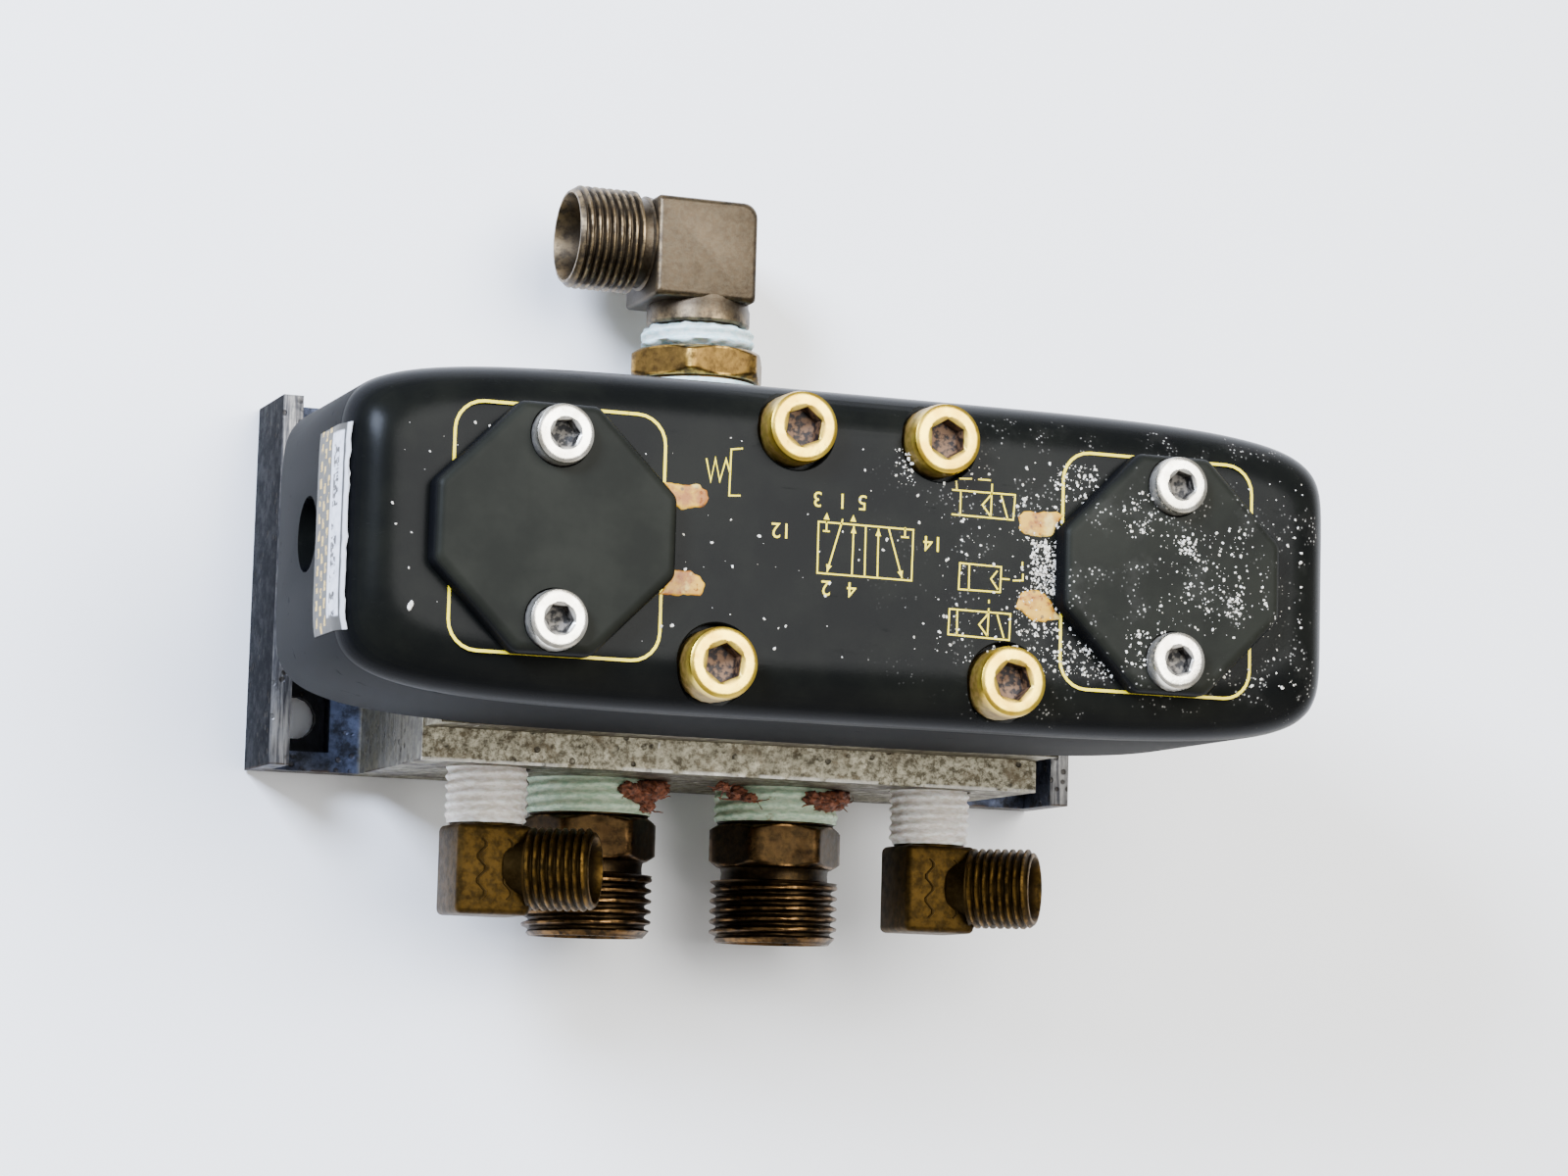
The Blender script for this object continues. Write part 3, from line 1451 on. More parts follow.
    def worn_patches(self) -> bmesh.types.BMesh:
        """Four chipped patches of filler beside the plates, lumpy on top.

        Returns:
            The patches.
        """
        outlines = [
            [(19.3, 5.8), (20, 6.5), (24.2, 6.8), (25.1, 6.4), (24.2, 5.1), (23.6, 3.8), (22.2, 3.6),
             (20.1, 3.8), (19.4, 4.6)],
            [(19.1, -5), (19.9, -3.1), (22.1, -2.6), (23.8, -4.2), (24.9, -6), (22.4, -6.5), (21.2, -6.4),
             (20, -5.5)],
            [(-25.2, 6.6), (-22.8, 6.4), (-20.8, 6.5), (-19.9, 6), (-19.6, 5.1), (-20.1, 4), (-21.4, 3.8),
             (-23.1, 3.6), (-23.8, 3.9), (-24.5, 5.6)],
            [(-23.7, -3.5), (-21.6, -3.5), (-20.4, -4), (-19.8, -4.7), (-19.9, -5.7), (-20.3, -6.2),
             (-22.8, -6.4), (-25.3, -6.4), (-24.6, -5.5), (-23.9, -4.3)],
        ]
        bm = bmesh.new()
        for seed, outline in enumerate(outlines):
            centre = sum((Vector(p) for p in outline), Vector((0, 0))) / len(outline)
            rings = []
            fine = []
            for k, point in enumerate(outline):
                ahead = Vector(outline[(k + 1) % len(outline)])
                for step in range(5):
                    at = Vector(point).lerp(ahead, step / 5)
                    push = noise.noise(Vector((at.x * 1.3, at.y * 1.3, seed * 7.0))) * 0.3
                    fine.append(at + (at - centre).normalized() * push)
            steps = ((1.0, -0.05), (1.0, 0.03), (0.96, 0.09), (0.8, 0.12), (0.55, 0.13), (0.28, 0.13))
            for share, z in steps:
                ring = []
                for at in fine:
                    spot = centre + (at - centre) * share
                    lump = noise.noise(Vector((spot.x * 1.8, spot.y * 1.8, seed * 3.0))) * 0.07
                    lump = lump if z > 0.05 else 0.0
                    ring.append((spot.x, spot.y, FACE_Z + z + lump))
                rings.append(ring)
            part = loft(rings)
            absorb(bm, part)
        return bm

    def build(self) -> None:
        """Make the print and the patches."""
        bm = bmesh.new()
        self.frames(bm)
        self.valve_symbol(bm)
        self.pilot_symbols(bm)
        self.port_numbers(bm)
        self.hand_over(placed("face_print", bm), PRINT_INK)
        self.hand_over(placed("face_patches", self.worn_patches()), TAB_PAINT, crease=60)


@dataclass
class PlateSet(SubAssembly):
    """The two octagonal blanking plates."""

    round_edge: float = 1.25

    @staticmethod
    def outline(centre: float, inset: float = 0.0, rounding: float = 1.6) -> list[tuple[float, float]]:
        """A square with cut and softened corners.

        Args:
            centre: Middle of the plate in X.
            inset: How far the outline is pulled in.
            rounding: Radius of the corners.

        Returns:
            The outline points.
        """
        half = 14.3 - inset
        inner = 4.6 + inset * (math.sqrt(2) - 2)
        corners = [(half, -inner), (half, inner), (inner, half), (-inner, half)]
        corners += [(-x, -y) for x, y in corners]
        return rounded_polygon([(centre + x, y) for x, y in corners], max(0.6, rounding - inset * 0.5), 5)

    def build(self) -> None:
        """Make both plates with their sunk screw seats."""
        for label, side in (("12", -1), ("14", 1)):
            x = side * PLATE_X
            rings = [[(px, py, 76.02) for px, py in self.outline(x, 0.25)]]
            rings.append([(px, py, 76.3) for px, py in self.outline(x)])
            for k in range(8):
                a = math.pi / 2 * k / 7
                inset = self.round_edge * (1 - math.cos(a))
                z = PLATE_TOP - self.round_edge * (1 - math.sin(a))
                rings.append([(px, py, z) for px, py in self.outline(x, inset)])
            plate = linked(f"blanking_plate_{label}_body", as_mesh(loft(rings), f"plate_{label}"))
            tools = []
            for y in (PLATE_SCREW_Y, -PLATE_SCREW_Y):
                steps = [Ring(74, 2.3), Ring(76.45, 2.3), Ring(76.5, 3.6), Ring(78.85, 3.6), Ring(79.02, 3.7)]
                tools.append(lathe([*steps, Ring(82, 3.7)], 48, UP, (x, y, 0)))
            carve(plate, tools)
            self.hand_over(plate, PLATE_PAINT, [f"blanking_plate_{label}"], 32)


@dataclass
class ScrewSet(SubAssembly):
    """Socket cap screws of one size, repeated on their seats."""

    name: str = "screws"
    head_radius: float = 4.25
    head: float = 5.0
    shank: float = 2.4
    length: float = 44.0
    flats: float = 4.0
    pitch: float = 0.8
    finish: Finish = GOLD_ZINC
    seats: tuple[tuple[float, float, float], ...] = ()
    nodes: tuple[str, ...] = ()

    def prototype(self) -> bpy.types.Object:
        """One screw, its seat at the origin and its shank downwards.

        Returns:
            The screw, which is removed once it has been repeated.
        """
        radius, head = self.head_radius, self.head
        chamfer = 0.12 * head
        knurl = 0.05

        def milled(angle: float) -> float:
            """The knurled side of the head."""
            return radius - knurl * (0.5 + 0.5 * math.cos(angle * 24))

        def socket(angle: float, grow: float = 1.0) -> float:
            """The hexagon socket's wall."""
            off = angle % (math.pi / 3) - math.pi / 6
            return self.flats / 2 / math.cos(off) * grow

        rings = [Ring(-self.length, self.shank - 0.4)]
        rings += thread(-self.length, -self.length * 0.35, self.shank, self.pitch, 0.4)[:: 2]
        rings += [Ring(-self.length * 0.34, self.shank), Ring(0, self.shank), Ring(0, radius - 0.15)]
        rings += [Ring(0.15, milled, 0.0, 0.8), Ring(head - chamfer - 0.9, milled, 0.0, 0.7)]
        rings.append(Ring(head - chamfer - 0.3, radius - 0.03, 0.0, 0.35))
        rings.append(Ring(head - chamfer * 0.35, radius - 0.18))
        rings += [Ring(head - 0.03, radius - 0.5), Ring(head, radius - 0.75)]
        rings += [Ring(head, self.flats / 2 * 1.36), Ring(head, self.flats / 2 * 1.27, 0.0, 0.15)]
        rings += [
            Ring(head - 0.22, lambda a: socket(a, 1.02), 0.0, 0.6),
            Ring(head - 0.45, socket, 0.0, 1.0),
            Ring(head * 0.5, socket, 0.0, 1.0),
            Ring(head * 0.5 - 0.05, lambda a: socket(a, 0.8), 0.0, 1.0),
            Ring(head * 0.5 - 0.6, 0.25, 0.0, 1.0),
        ]
        bm = lathe(rings, 48, UP, (0, 0, 0))
        obj = linked(f"{self.name}_prototype", as_mesh(bm, self.name))
        obj.data.shade_smooth()
        obj.data.set_sharp_from_angle(angle=math.radians(34))
        return obj

    def build(self) -> None:
        """Place the screws on their seats, each turned its own way."""
        turns = random.Random(len(self.name) * 31)
        mesh = bpy.data.meshes.new(self.name)
        mesh.from_pydata([tuple(c * MM for c in seat) for seat in self.seats], [], [])
        turn = mesh.attributes.new("turn", "FLOAT", "POINT")
        turn.data.foreach_set("value", [turns.uniform(0, 1.04) for _ in self.seats])
        host = linked(self.name, mesh)
        proto = self.prototype()
        placed_copies().run(host, {"Prototype": proto, "Material": self.finish.material()})
        bpy.data.objects.remove(proto)
        self.hand_over(host, self.finish, self.nodes, 34)


@dataclass
class Debris(SubAssembly):
    """Plaster crumbs strewn over the half of the valve towards port 14.

    Each region is low X, low Y, high X, high Y, height and amount.
    """

    regions: tuple[tuple[float, float, float, float, float, float], ...] = (
        (21.0, -3.1, 24.6, 3.2, 76.0, 11.0),
        (19.5, 3.0, 25.0, 8.5, 76.0, 1.6),
        (19.0, -8.5, 25.0, -2.5, 76.0, 3.0),
        (9.0, -12.7, 57.0, 12.7, 76.0, 0.32),
        (24.0, -12.7, 34.0, -8.5, 76.0, 3.4),
        (24.0, 8.0, 29.5, 12.7, 76.0, 3.0),
        (3.2, 8.5, 6.0, 12.7, 76.0, 3.0),
        (12.5, -12.7, 24.0, -9.5, 76.0, 0.9),
        (31.5, 4.0, 36.0, 9.5, 79.0, 1.7),
        (32.0, -11.5, 35.5, -7.0, 79.0, 2.6),
        (36.0, -8.0, 48.0, 6.5, 79.0, 0.65),
        (40.0, -5.0, 51.0, 5.0, 79.0, 0.6),
        (38.8, 2.4, 41.2, 4.6, 79.0, 8.0),
        (45.6, -4.2, 47.4, -2.3, 79.0, 7.0),
        (-57.0, -12.5, 9.0, 12.5, 76.0, 0.05),
    )

    def crumb(self) -> bpy.types.Object:
        """One crumb, 1 mm across, faceted and flat.

        Returns:
            The crumb, which is removed once it has been repeated.
        """
        bm = bmesh.new()
        bmesh.ops.create_icosphere(bm, subdivisions=1, radius=0.5)
        for vertex in bm.verts:
            vertex.co += noise.noise_vector(vertex.co * 3.1) * 0.3
            vertex.co.x *= 0.7
            vertex.co.z *= 0.4
        return placed("crumb", bm)

    def build(self) -> None:
        """Strew the crumbs over the listed regions."""
        bm = bmesh.new()
        layer = bm.verts.layers.float.new("density")
        for x0, y0, x1, y1, z, amount in self.regions:
            corners = [bm.verts.new((x, y, z + 0.04)) for x, y in ((x0, y0), (x1, y0), (x1, y1), (x0, y1))]
            for vertex in corners:
                vertex[layer] = amount
            bm.faces.new(corners)
        host = placed("plaster_crumbs", bm)
        proto = self.crumb()
        values = {
            "Prototype": proto, "Density": 1.5e6, "Smallest": 0.09, "Largest": 0.55, "Seed": 5,
            "Material": DUST_FLAKE.material(),
        }
        scattered_copies().run(host, values)
        bpy.data.objects.remove(proto)
        self.hand_over(host, DUST_FLAKE, crease=20)


@dataclass
class TypeLabel(SubAssembly):
    """The rating label, bent round the casing's end and up its rounded edge."""

    low_y: float = -12.4
    high_y: float = 11.0
    low_z: float = 62.4
    thick: float = 0.14

    def surface(self, y: float, s: float, lift: float) -> tuple[float, float, float]:
        """A point of the casing's end at a place across and up the label.

        Args:
            y: Place along the casing's end.
            s: Distance up from the label's lower edge.
            lift: Distance off the paint.

        Returns:
            The point in mm.
        """
        straight = WALL_TOP_Z - self.low_z
        a = max(0.0, s - straight) / 6.2
        inset = 6.5 * (1 - math.cos(a))
        z = min(self.low_z + s, WALL_TOP_Z) + 6 * math.sin(a)
        half_x, half_y = 62.0 - inset, 19.7 - inset * 7 / 6.5
        x = half_x * (1 - min(0.999, abs(y) / half_y) ** 8) ** (1 / 4.7)
        return (-(x + lift * math.cos(a)), y, z + lift * math.sin(a))

    def build(self) -> None:
        """Make the label as a thin bent sheet with a curled upper edge."""
        rows, columns = 30, 36
        tall = 11.0
        skins = []
        for base in (0.03, 0.03 + self.thick):
            skin = []
            for j in range(rows + 1):
                row = []
                for i in range(columns + 1):
                    y = self.low_y + (self.high_y - self.low_y) * i / columns
                    ragged = noise.noise(Vector((y * 0.9, 3.0, 0))) * 0.35
                    s = (tall + ragged) * j / rows
                    curl = max(0.0, s - tall + 1.6) ** 2 * 0.10 * (1 + noise.noise(Vector((y * 0.7, 0, 5))))
                    row.append(self.surface(y, s, base + curl))
                skin.append(row)
            skins.append(skin)
        rings = []
        for j in range(rows + 1):
            rings.append(skins[1][j] + list(reversed(skins[0][j])))
        self.hand_over(placed("type_label", loft(rings)), LABEL_FOIL, ["type_plate"], 50)


@dataclass
class Subbase(SubAssembly):
    """The side-ported sub-base, the CAD shape with its edges eased."""

    ease: float = 0.3

    def build(self) -> None:
        """Copy the CAD node's mesh, join its facets and round its edges."""
        mesh = frame["nodes"]["subbase"].data.copy()
        bm = bmesh.new()
        bm.from_mesh(mesh)
        bmesh.ops.remove_doubles(bm, verts=bm.verts[:], dist=1e-6)
        bmesh.ops.dissolve_limit(bm, angle_limit=math.radians(1.5), verts=bm.verts[:], edges=bm.edges[:])
        weights = bm.edges.layers.float.new("bevel_weight_edge")
        for edge in bm.edges:
            edge.smooth = True
            edge[weights] = float(edge.is_manifold and edge.calc_face_angle(0) > math.radians(50))
        bm.to_mesh(mesh)
        bm.free()
        body = linked("subbase_body", mesh)
        bevel = body.modifiers.new("ease", "BEVEL")
        bevel.width = self.ease * MM
        bevel.segments = 2
        bevel.limit_method = "WEIGHT"
        bevel.use_clamp_overlap = True
        bake(body)
        self.hand_over(body, BASE_METAL, ["subbase"], 28)


@dataclass
class Tape(SubAssembly):
    """Thread tape: a thin sleeve that shows the thread below it and is torn at its ends."""

    name: str = "tape"
    node: str = ""
    way: Way = Way.OUTLET
    centre: tuple[float, float, float] = (0, 0, 0)
    start: float = 12.0
    end: float = 27.9
    inner: float = 7.7
    outer: float = 8.25
    pitch: float = 1.337
    seed: int = 1
    finish: Finish = GREEN_TAPE

    def build(self) -> None:
        """Make the sleeve."""
        rings = []
        count = round((self.end - self.start) / 0.2)
        shift = self.seed * 13.7

        def outside(s: float, edge: float) -> Callable[[float], float]:
            """The sleeve's outside at one place: ridges, wrinkles and a thinner torn end.

            Args:
                s: The place along the axis.
                edge: Distance to the nearer end.

            Returns:
                The radius as a function of the angle.
            """

            def radius(angle: float) -> float:
                """Ridges of the thread below plus the film's own wrinkles.

                Args:
                    angle: The angle round the axis.

                Returns:
                    The radius in mm.
                """
                u = (s / self.pitch - angle / (2 * math.pi)) % 1.0
                ridge = 0.5 + 0.5 * math.cos(2 * math.pi * u)
                c, d = math.cos(angle) * self.outer, math.sin(angle) * self.outer
                crease = noise.noise(Vector((c * 0.55, d * 0.55, s * 1.6 + shift)))
                tear = noise.noise(Vector((c * 0.9, d * 0.9, shift)))
                reach = edge - 0.5 - 0.7 * tear
                thin = min(1.0, max(0.0, reach / 0.35 + 1))
                full = self.outer - 0.42 + 0.34 * ridge + 0.16 * crease
                return self.inner + 0.06 + (full - self.inner - 0.06) * thin

            return radius

        def hollow(s: float) -> Callable[[float], float]:
            """How deep in a fold a point is, as a function of the angle."""
            return lambda angle: 0.5 - 0.5 * math.cos(2 * math.pi * s / self.pitch - angle)

        for k in range(count + 1):
            s = self.start + (self.end - self.start) * k / count
            rings.append(Ring(s, outside(s, min(s - self.start, self.end - s)), hollow(s)))
        rings += [Ring(self.end, self.inner), Ring(self.start, self.inner)]
        bm = lathe(rings, 84, self.way.value, self.centre, wrap=True)
        self.hand_over(placed(self.name, bm), self.finish, [self.node], 60)


@dataclass
class Outlet(SubAssembly):
    """A straight male connector: taper stub, hexagon, neck, thread and cone mouth."""

    label: str = "2"
    centre: tuple[float, float, float] = (-PORT_X, 0, PORT_Z)
    finish: Finish = OUTLET_BRASS

    def build(self) -> None:
        """Turn the connector in one skin, bore included."""
        phase = math.radians(10)
        rings = [Ring(10.5, 7.0), Ring(23.5, 7.6), Ring(28.1, 7.6), Ring(28.2, 7.35)]
        rings += hexagon(28.2, 33.8, 15.2, 17.4, phase)
        rings += [Ring(33.82, 7.25, 0.6), Ring(34.0, 7.05), Ring(34.6, 6.95)]
        rings += [Ring(35.4, 7.0), Ring(35.6, 7.23, 0.4)]
        rings += thread(35.6, 43.4, 8.33, 1.337, 0.86)
        rings += [Ring(43.6, 7.35, 1.0), Ring(43.6, 6.9, 0.7)]
        rings += [Ring(42.4, 6.1, 0.0, 0.5), Ring(41.4, 6.0, 0.0, 0.8)]
        rings += [Ring(37.1, 6.0, 0.0, 1.0), Ring(36.9, 4.8, 0.0, 1.0), Ring(12.0, 4.8, 0.0, 1.0)]
        bm = lathe(rings, 72, Way.OUTLET.value, self.centre, phase)
        name = f"outlet_connector_{self.label}"
        self.hand_over(placed(name, bm), self.finish, [f"outlet_fitting_{self.label}"], 40)


@dataclass
class PilotElbow(SubAssembly):
    """A small forged elbow with a turned outlet thread."""

    label: str = "12"
    side: int = -1
    turn: float = 30.0
    half: float = 4.8
    finish: Finish = ELBOW_BRASS

    def build(self) -> None:
        """Make the block, its stub, its outlet and the forging marks as one piece."""
        x, z = self.side * PILOT_X, PILOT_Z
        low, high = (x - self.half, -41.8, z - self.half), (x + self.half, -30.6, z + self.half)
        block = bevelled_box(low, high, 0.75)
        stub = lathe([Ring(13.2, 4.1), Ring(23.5, 4.5), Ring(31.5, 4.5)], 48, (0, -1, 0), (x, 0, z))
        a = math.radians(self.turn)
        out = (math.cos(a), 0, math.sin(a))
        rings = [Ring(3.4, 4.0), Ring(5.6, 4.2), Ring(6.0, 4.4, 0.4)]
        rings += thread(6.0, 14.1, 5.15, 1.0, 0.55)
        rings += [Ring(14.2, 4.45, 1.0), Ring(14.2, 4.15, 0.8)]
        rings += [Ring(13.0, 3.65, 0.0, 0.5), Ring(8.6, 3.65, 0.0, 1.0)]
        rings += [Ring(8.2, 2.4, 0.0, 1.0), Ring(4.2, 2.4, 0.0, 1.0)]
        outlet = lathe(rings, 60, out, (x, -35.9, z))
        ridges = bmesh.new()
        for offset in (-1.7, 1.7):
            line = [(x + offset + 0.55 * math.sin(k * 1.05), -32.4 - 0.5 * k) for k in range(16)]
            rows = []
            for px, py in line:
                top = z + self.half
                rows.append([(px - 0.3, py, top - 0.15), (px - 0.12, py, top + 0.16),
                             (px + 0.12, py, top + 0.16), (px + 0.3, py, top - 0.15)])
            part = loft(rows)
            absorb(ridges, part)
        whole = combined([block, stub, outlet, ridges])
        name = f"pilot_elbow_{self.label}_forging"
        self.hand_over(placed(name, whole), self.finish, [f"pilot_elbow_{self.label}"], 40)


@dataclass
class Supply(SubAssembly):
    """The hexagon bush in port 1 and the elbow screwed into it."""

    centre: tuple[float, float, float] = (0, 0, PORT_Z)

    def block(self) -> bmesh.types.BMesh:
        """The elbow's body: a forged block with one well rounded outer corner and eased edges.

        Returns:
            The block.
        """
        rings = []
        for z, inset in ((7.4, 0.7), (7.6, 0.25), (8.1, 0.0), (19.9, 0.0), (20.4, 0.25), (20.6, 0.7)):
            low_x, high_x, low_y, high_y = -8.1 + inset, 5.8 - inset, 39.6 + inset, 52.9 - inset
            corners = [(low_x, low_y), (high_x, low_y), (high_x, high_y), (low_x, high_y)]
            rings.append([(x, y, z) for x, y in rounded_polygon(corners, (0.5, 0.7, 1.9, 0.6))])
        bm = loft(rings)
        wear = bm.verts.layers.float.new("wear")
        bm.verts.layers.float.new("grime")
        for vertex in bm.verts:
            vertex[wear] = 0.5 if 0.1 < min(vertex.co.z - 7.4, 20.6 - vertex.co.z) < 0.4 else 0.05
        return bm

    def build(self) -> None:
        """Make the bush and the elbow."""
        phase = math.radians(6)
        rings = [Ring(10.5, 7.0), Ring(23.5, 7.6), Ring(29.3, 7.6), Ring(29.4, 8.0)]
        rings += hexagon(29.4, 33.3, 16.6, 18.8, phase)
        rings += [Ring(33.3, 7.4, 0.4), Ring(33.3, 6.4), Ring(33.0, 6.0, 0.0, 0.8), Ring(12.0, 6.0, 0.0, 1.0)]
        bush = lathe(rings, 72, Way.SUPPLY.value, self.centre, phase)
        self.hand_over(placed("supply_bush_turned", bush), BUSH_BRASS, ["supply_bush"], 40)

        block = self.block()
        male = [Ring(26.0, 5.2), Ring(36.8, 5.5), Ring(36.8, 6.5, 0.5), Ring(37.1, 6.8, 0.6), Ring(39.0, 6.8)]
        male += [Ring(39.5, 6.6), Ring(40.6, 6.6)]
        boss = lathe(male, 64, Way.SUPPLY.value, self.centre)
        rings = [Ring(6.6, 5.9), Ring(8.2, 6.25, 0.4), Ring(8.5, 5.9), Ring(9.3, 5.85), Ring(9.8, 6.0)]
        rings += thread(9.9, 18.2, 6.75, 1.0, 0.6)
        rings += [Ring(18.4, 6.05, 1.0), Ring(18.4, 5.75, 0.8)]
        rings += [Ring(15.2, 4.6, 0.0, 0.45), Ring(13.9, 4.3, 0.0, 0.8)]
        rings += [Ring(10.8, 4.3, 0.0, 1.0), Ring(10.4, 3.4, 0.0, 1.0), Ring(7.2, 3.4, 0.0, 1.0)]
        outlet = lathe(rings, 72, (-1, 0, 0), (0, 47.4, PORT_Z))
        whole = combined([block, boss, outlet])
        self.hand_over(placed("supply_elbow_forging", whole), SUPPLY_BRASS,
                       ["supply_elbow"], 40)


@dataclass
class Sealant(SubAssembly):
    """Hardened hemp and sealant squeezed out beside the outlet ports.

    Each lump is X, Y, Z and size.
    """

    lumps: tuple[tuple[float, float, float, float], ...] = (
        (-8.6, -25.4, 20.9, 1.9), (-6.8, -24.8, 20.0, 2.1), (-10.2, -24.9, 22.0, 1.4),
        (-5.2, -24.4, 18.4, 1.7), (-7.2, -26.8, 19.8, 1.2), (16.8, -25.2, 20.8, 1.9),
        (18.4, -24.8, 19.2, 2.1), (15.0, -24.9, 21.9, 1.4), (20.0, -24.3, 17.2, 1.7),
        (5.6, -24.5, 18.8, 1.4), (6.9, -25.0, 20.0, 1.0), (1.2, -24.2, 25.6, 0.9),
    )

    def build(self) -> None:
        """Make the lumps and the loose fibres round them."""
        bm = bmesh.new()
        chance = random.Random(17)
        for x, y, z, size in self.lumps:
            part = bmesh.new()
            bmesh.ops.create_icosphere(part, subdivisions=4, radius=1.0)
            for vertex in part.verts:
                way = vertex.co.normalized()
                swell = 1 + 0.42 * noise.noise(way * 2.1 + Vector((x, z, 0)))
                swell += 0.22 * noise.noise(way * 5.5 + Vector((z, x, 3)))
                flat = Vector((way.x * size, way.y * size * 0.62, way.z * size))
                vertex.co = flat * swell + Vector((x, y, z))
            absorb(bm, part)
            for _ in range(7):
                self.fibre(bm, Vector((x, y - size * 0.45, z)), size, chance)
        self.hand_over(placed("port_sealant", bm), OLD_SEALANT, crease=70)

    def fibre(self, bm: bmesh.types.BMesh, start: Vector, size: float, chance: random.Random) -> None:
        """Add one short curled strand.

        Args:
            bm: The mesh to add to.
            start: Middle of the lump's outer face.
            size: The lump's size.
            chance: The seeded random source.
        """
        spread = Vector((chance.uniform(-1, 1), chance.uniform(-0.2, 0.3), chance.uniform(-1, 1)))
        at = start + spread * size * 0.7
        way = Vector((chance.uniform(-1, 1), chance.uniform(-0.1, 0.3), chance.uniform(-0.6, 0.6)))
        way.normalize()
        rows = []
        for step in range(9):
            thick = 0.16 * (1 - step / 11)
            side = way.cross(Vector((0.2, 1, 0.1))).normalized()
            up = way.cross(side).normalized()
            rows.append([tuple(at + side * thick * c + up * thick * s)
                         for c, s in ((1, 0), (0, 1), (-1, 0), (0, -1))])
            bend = Vector((chance.uniform(-1, 1), chance.uniform(-0.4, 0.4), chance.uniform(-1, 1)))
            way = (way + bend * 0.75).normalized()
            at = at + way * 0.28
        part = loft(rows)
        absorb(bm, part)


@dataclass
class ReturnSpring(SubAssembly):
    """The return spring, which shortens as the spool moves over."""

    near: float = -33.3
    far: float = -54.0
    radius: float = 6.2
    wire: float = 0.6
    turns: float = 6.0
    keep: float = 0.79

    def build(self) -> None:
        """Make the coil and tie its length to the spool's travel."""
        steps = int(self.turns * 32)
        rings = []
        for k in range(steps + 1):
            a = 2 * math.pi * self.turns * k / steps
            x = self.near + (self.far - self.near) * k / steps
            middle = Vector((x, self.radius * math.cos(a), SPOOL_Z + self.radius * math.sin(a)))
            outward = Vector((0, math.cos(a), math.sin(a)))
            ring = []
            for j in range(10):
                b = 2 * math.pi * j / 10
                sideways = Vector((self.wire * math.sin(b), 0, 0))
                ring.append(tuple(middle + outward * self.wire * math.cos(b) + sideways))
            rings.append(ring)
        spring = placed("return_spring_coil", loft(rings))
        self.hand_over(spring, SPRING_METAL, ["return_spring"], 60)
        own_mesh(spring)


@dataclass
class InnerParts(SubAssembly):
    """The CAD nodes inside the valve, which keep their shape and get their real surfaces."""

    finishes: dict[str, Finish] = field(
        default_factory=lambda: {
            "spool_housing": MACHINED_METAL,
            "spring_housing": MACHINED_METAL,
            "piston_housing": MACHINED_METAL,
            "spool": MACHINED_METAL,
            "pilot_piston": PISTON_PLASTIC,
            "spring_seat": PISTON_PLASTIC,
            "piston_seal": SEAL_RUBBER,
            "base_gasket": SEAL_RUBBER,
            "plate_gasket_12": SEAL_RUBBER,
            "plate_gasket_14": SEAL_RUBBER,
            "housing_gasket_12": SEAL_RUBBER,
            "housing_gasket_14": SEAL_RUBBER,
            **{f"spool_seal_{k}": SEAL_RUBBER for k in range(1, 7)},
        }
    )

    def build(self) -> None:
        """Give each node its material."""
        for name, finish in self.finishes.items():
            node = frame["nodes"][name]
            for slot in node.material_slots:
                slot.link = "OBJECT"
                slot.material = finish.material()
            LOG.info("%s: %s", name, finish.name)


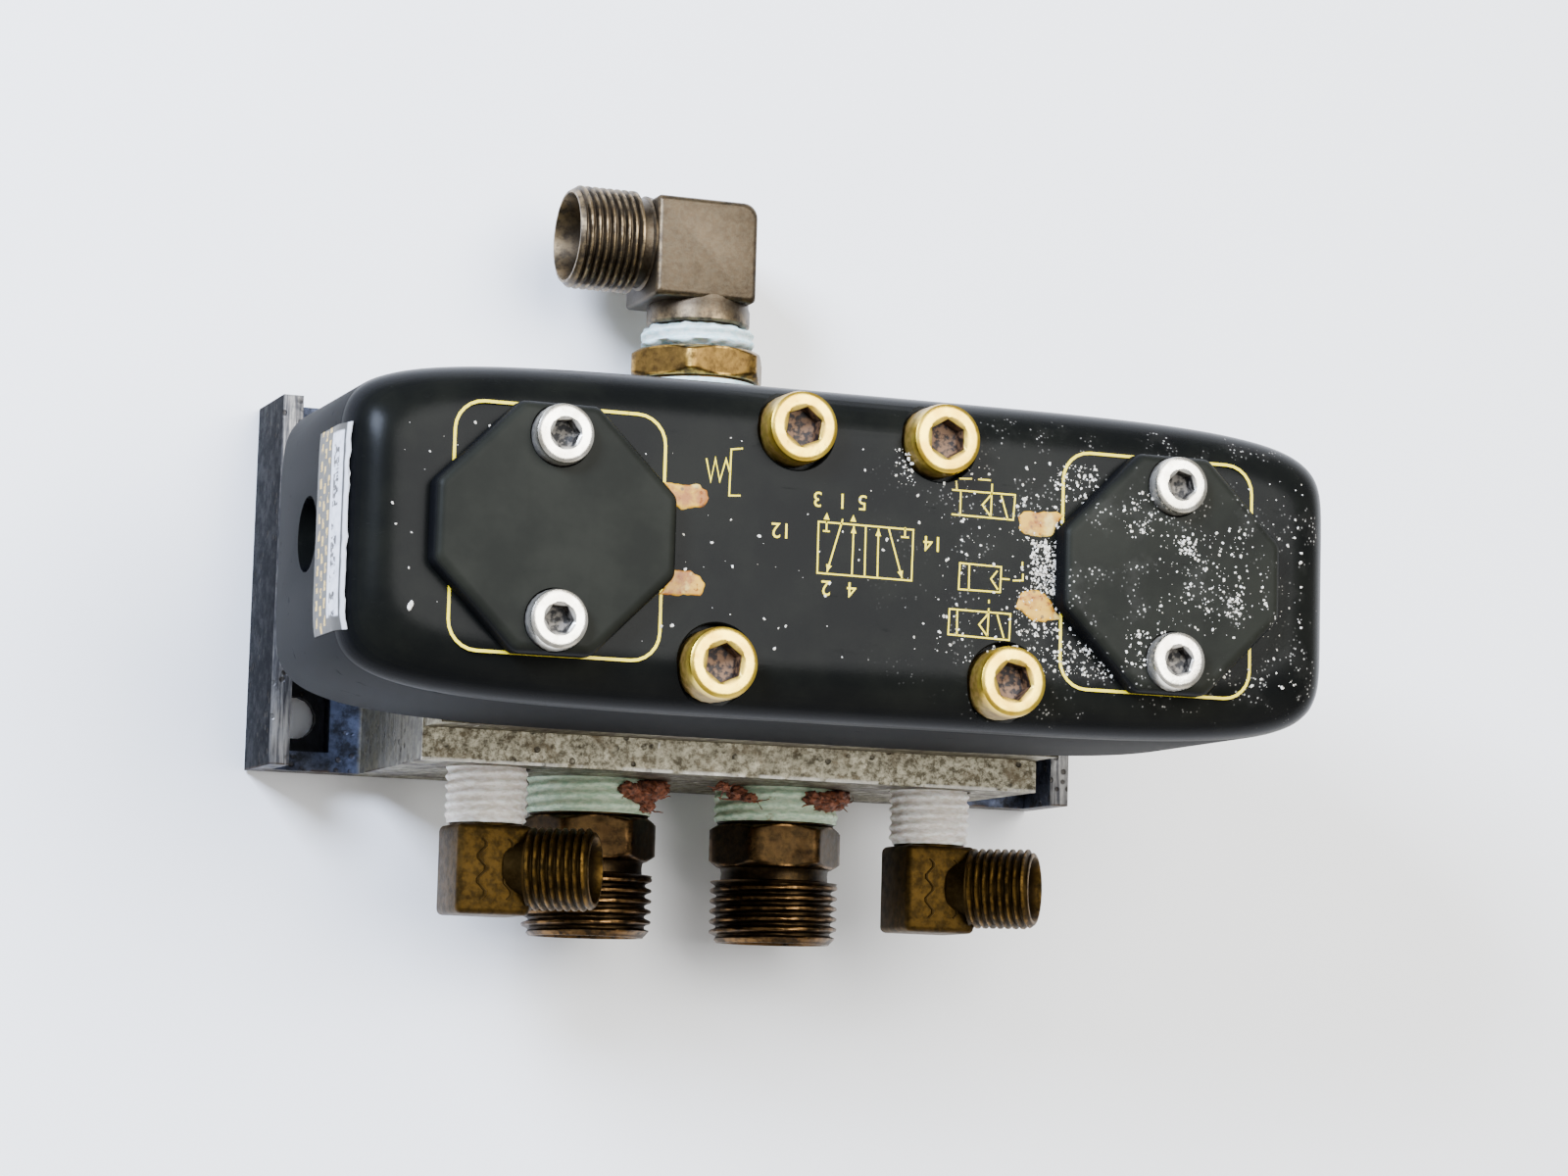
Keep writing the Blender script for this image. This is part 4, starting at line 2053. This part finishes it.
@dataclass
class Studio:
    """Floor, lights and camera."""

    camera_at: tuple[float, float, float] = (-0.17181, -0.05984, 0.50913)
    turns: tuple[float, float, float] = (-6.8091, 20.4793, -1.57)
    lens: float = 92.66

    def floor(self) -> None:
        """A wide plain floor just under the valve."""
        bm = bmesh.new()
        bmesh.ops.create_grid(bm, x_segments=8, y_segments=8, size=6000)
        bmesh.ops.translate(bm, vec=(0, 0, -0.5), verts=bm.verts[:])
        ground = placed("floor", bm)
        ground.data.materials.append(PLAIN_FLOOR.material())

    def light(self, name: str, at: Point, size: float, power: float, tint: str) -> None:
        """One square soft light aimed at the valve.

        Args:
            name: The light's name.
            at: Its place in metres.
            size: Its width in metres.
            power: Its power in watts.
            tint: Its colour.
        """
        data = bpy.data.lights.new(name, "AREA")
        data.energy = power
        data.size = size
        data.color = linear(tint)[:3]
        lamp = bpy.data.objects.new(name, data)
        lamp.location = at
        lamp.rotation_euler = (Vector((0, 0, 0.05)) - Vector(at)).to_track_quat("-Z", "Y").to_euler()
        bpy.context.scene.collection.objects.link(lamp)

    def camera(self) -> None:
        """A camera that looks down on the printed face, turned about its own three axes."""
        data = bpy.data.cameras.new("camera")
        data.lens = self.lens
        data.sensor_width = 36.0
        data.clip_start = 0.01
        eye = bpy.data.objects.new("camera", data)
        rx, ry, rz = (math.radians(t) for t in self.turns)
        turn = Matrix.Rotation(rz, 3, "Z") @ Matrix.Rotation(rx, 3, "X") @ Matrix.Rotation(ry, 3, "Y")
        eye.matrix_world = Matrix.Translation(self.camera_at) @ turn.transposed().to_4x4()
        bpy.context.scene.collection.objects.link(eye)
        bpy.context.scene.camera = eye

    def build(self) -> None:
        """Make the floor, the three lights, the room's own light and the camera."""
        self.floor()
        self.light("window", (-0.46, 0.30, 0.50), 0.22, 15.0, "#D4E2FF")
        self.light("ceiling", (0.25, 0.30, 1.05), 0.8, 28.0, "#FFFFFF")
        self.light("fill", (0.35, -0.55, 0.40), 0.6, 1.2, "#FFF6EA")
        world = bpy.data.worlds.new("room")
        world.use_nodes = True
        world.node_tree.nodes.clear()
        sky = add_node(world.node_tree, "ShaderNodeBackground", inputs={0: linear("#F4F6FA"), 1: 0.55})
        add_node(world.node_tree, "ShaderNodeOutputWorld", inputs={0: sky.outputs[0]})
        bpy.context.scene.world = world
        self.camera()


def subassemblies() -> list[SubAssembly]:
    """Every group of pieces, in the order they are built.

    Returns:
        The list of sub-assemblies.
    """
    bolts = tuple(f"mounting_bolt_{k}" for k in range(1, 5))
    plate_seats = tuple((side * PLATE_X, end * PLATE_SCREW_Y, 76.8) for side in (-1, 1) for end in (1, -1))
    plate_nodes = tuple(f"plate_screw_{label}_{mark}" for label in ("12", "14") for mark in ("a", "b"))
    return [
        Casing(),
        FacePrint(),
        PlateSet(),
        ScrewSet(name="mounting_bolts", seats=tuple((x, y, 73.7) for x, y in Casing().bolts), nodes=bolts),
        ScrewSet(
            name="plate_screws", head_radius=3.5, head=4.0, shank=1.9, length=12.0, flats=3.0, pitch=0.7,
            finish=PALE_ZINC, seats=plate_seats, nodes=plate_nodes,
        ),
        Debris(),
        TypeLabel(),
        Subbase(),
        Outlet(label="2", centre=(-PORT_X, 0, PORT_Z)),
        Outlet(label="4", centre=(PORT_X, 0, PORT_Z)),
        PilotElbow(label="12", side=-1, turn=30.0),
        PilotElbow(label="14", side=1, turn=36.0),
        Supply(),
        Tape(name="tape_port_2", node="thread_tape_2", centre=(-PORT_X, 0, PORT_Z), seed=1),
        Tape(name="tape_port_4", node="thread_tape_4", centre=(PORT_X, 0, PORT_Z), seed=2),
        Tape(
            name="tape_pilot_12", node="thread_tape_12", centre=(-PILOT_X, 0, PILOT_Z), start=14.5, end=30.4,
            inner=4.65, outer=5.25, pitch=1.2, seed=3, finish=WHITE_TAPE,
        ),
        Tape(
            name="tape_pilot_14", node="thread_tape_14", centre=(PILOT_X, 0, PILOT_Z), start=14.5, end=30.4,
            inner=4.65, outer=5.25, pitch=1.2, seed=4, finish=WHITE_TAPE,
        ),
        Tape(
            name="tape_bush", node="thread_tape_bush", way=Way.SUPPLY, centre=(0, 0, PORT_Z), end=29.1,
            seed=5, finish=CYAN_TAPE,
        ),
        Tape(
            name="tape_elbow", node="thread_tape_elbow", way=Way.SUPPLY, centre=(0, 0, PORT_Z), start=33.5,
            end=36.6, inner=5.7, outer=7.6, seed=6, finish=CYAN_TAPE,
        ),
        Sealant(),
        ReturnSpring(),
        InnerParts(),
    ]


def main() -> None:
    """Build every sub-assembly, then the studio, and note the sizes."""
    logging.basicConfig(level=logging.INFO, format="%(name)s: %(message)s")
    # Vector noise takes its offsets from this seed, which is the clock unless it is set.
    noise.seed_set(NOISE_SEED)
    for group in subassemblies():
        LOG.info("building %s", type(group).__name__)
        group.build()
    Studio().build()
    bpy.context.view_layer.update()


if __name__ == "__main__":
    main()
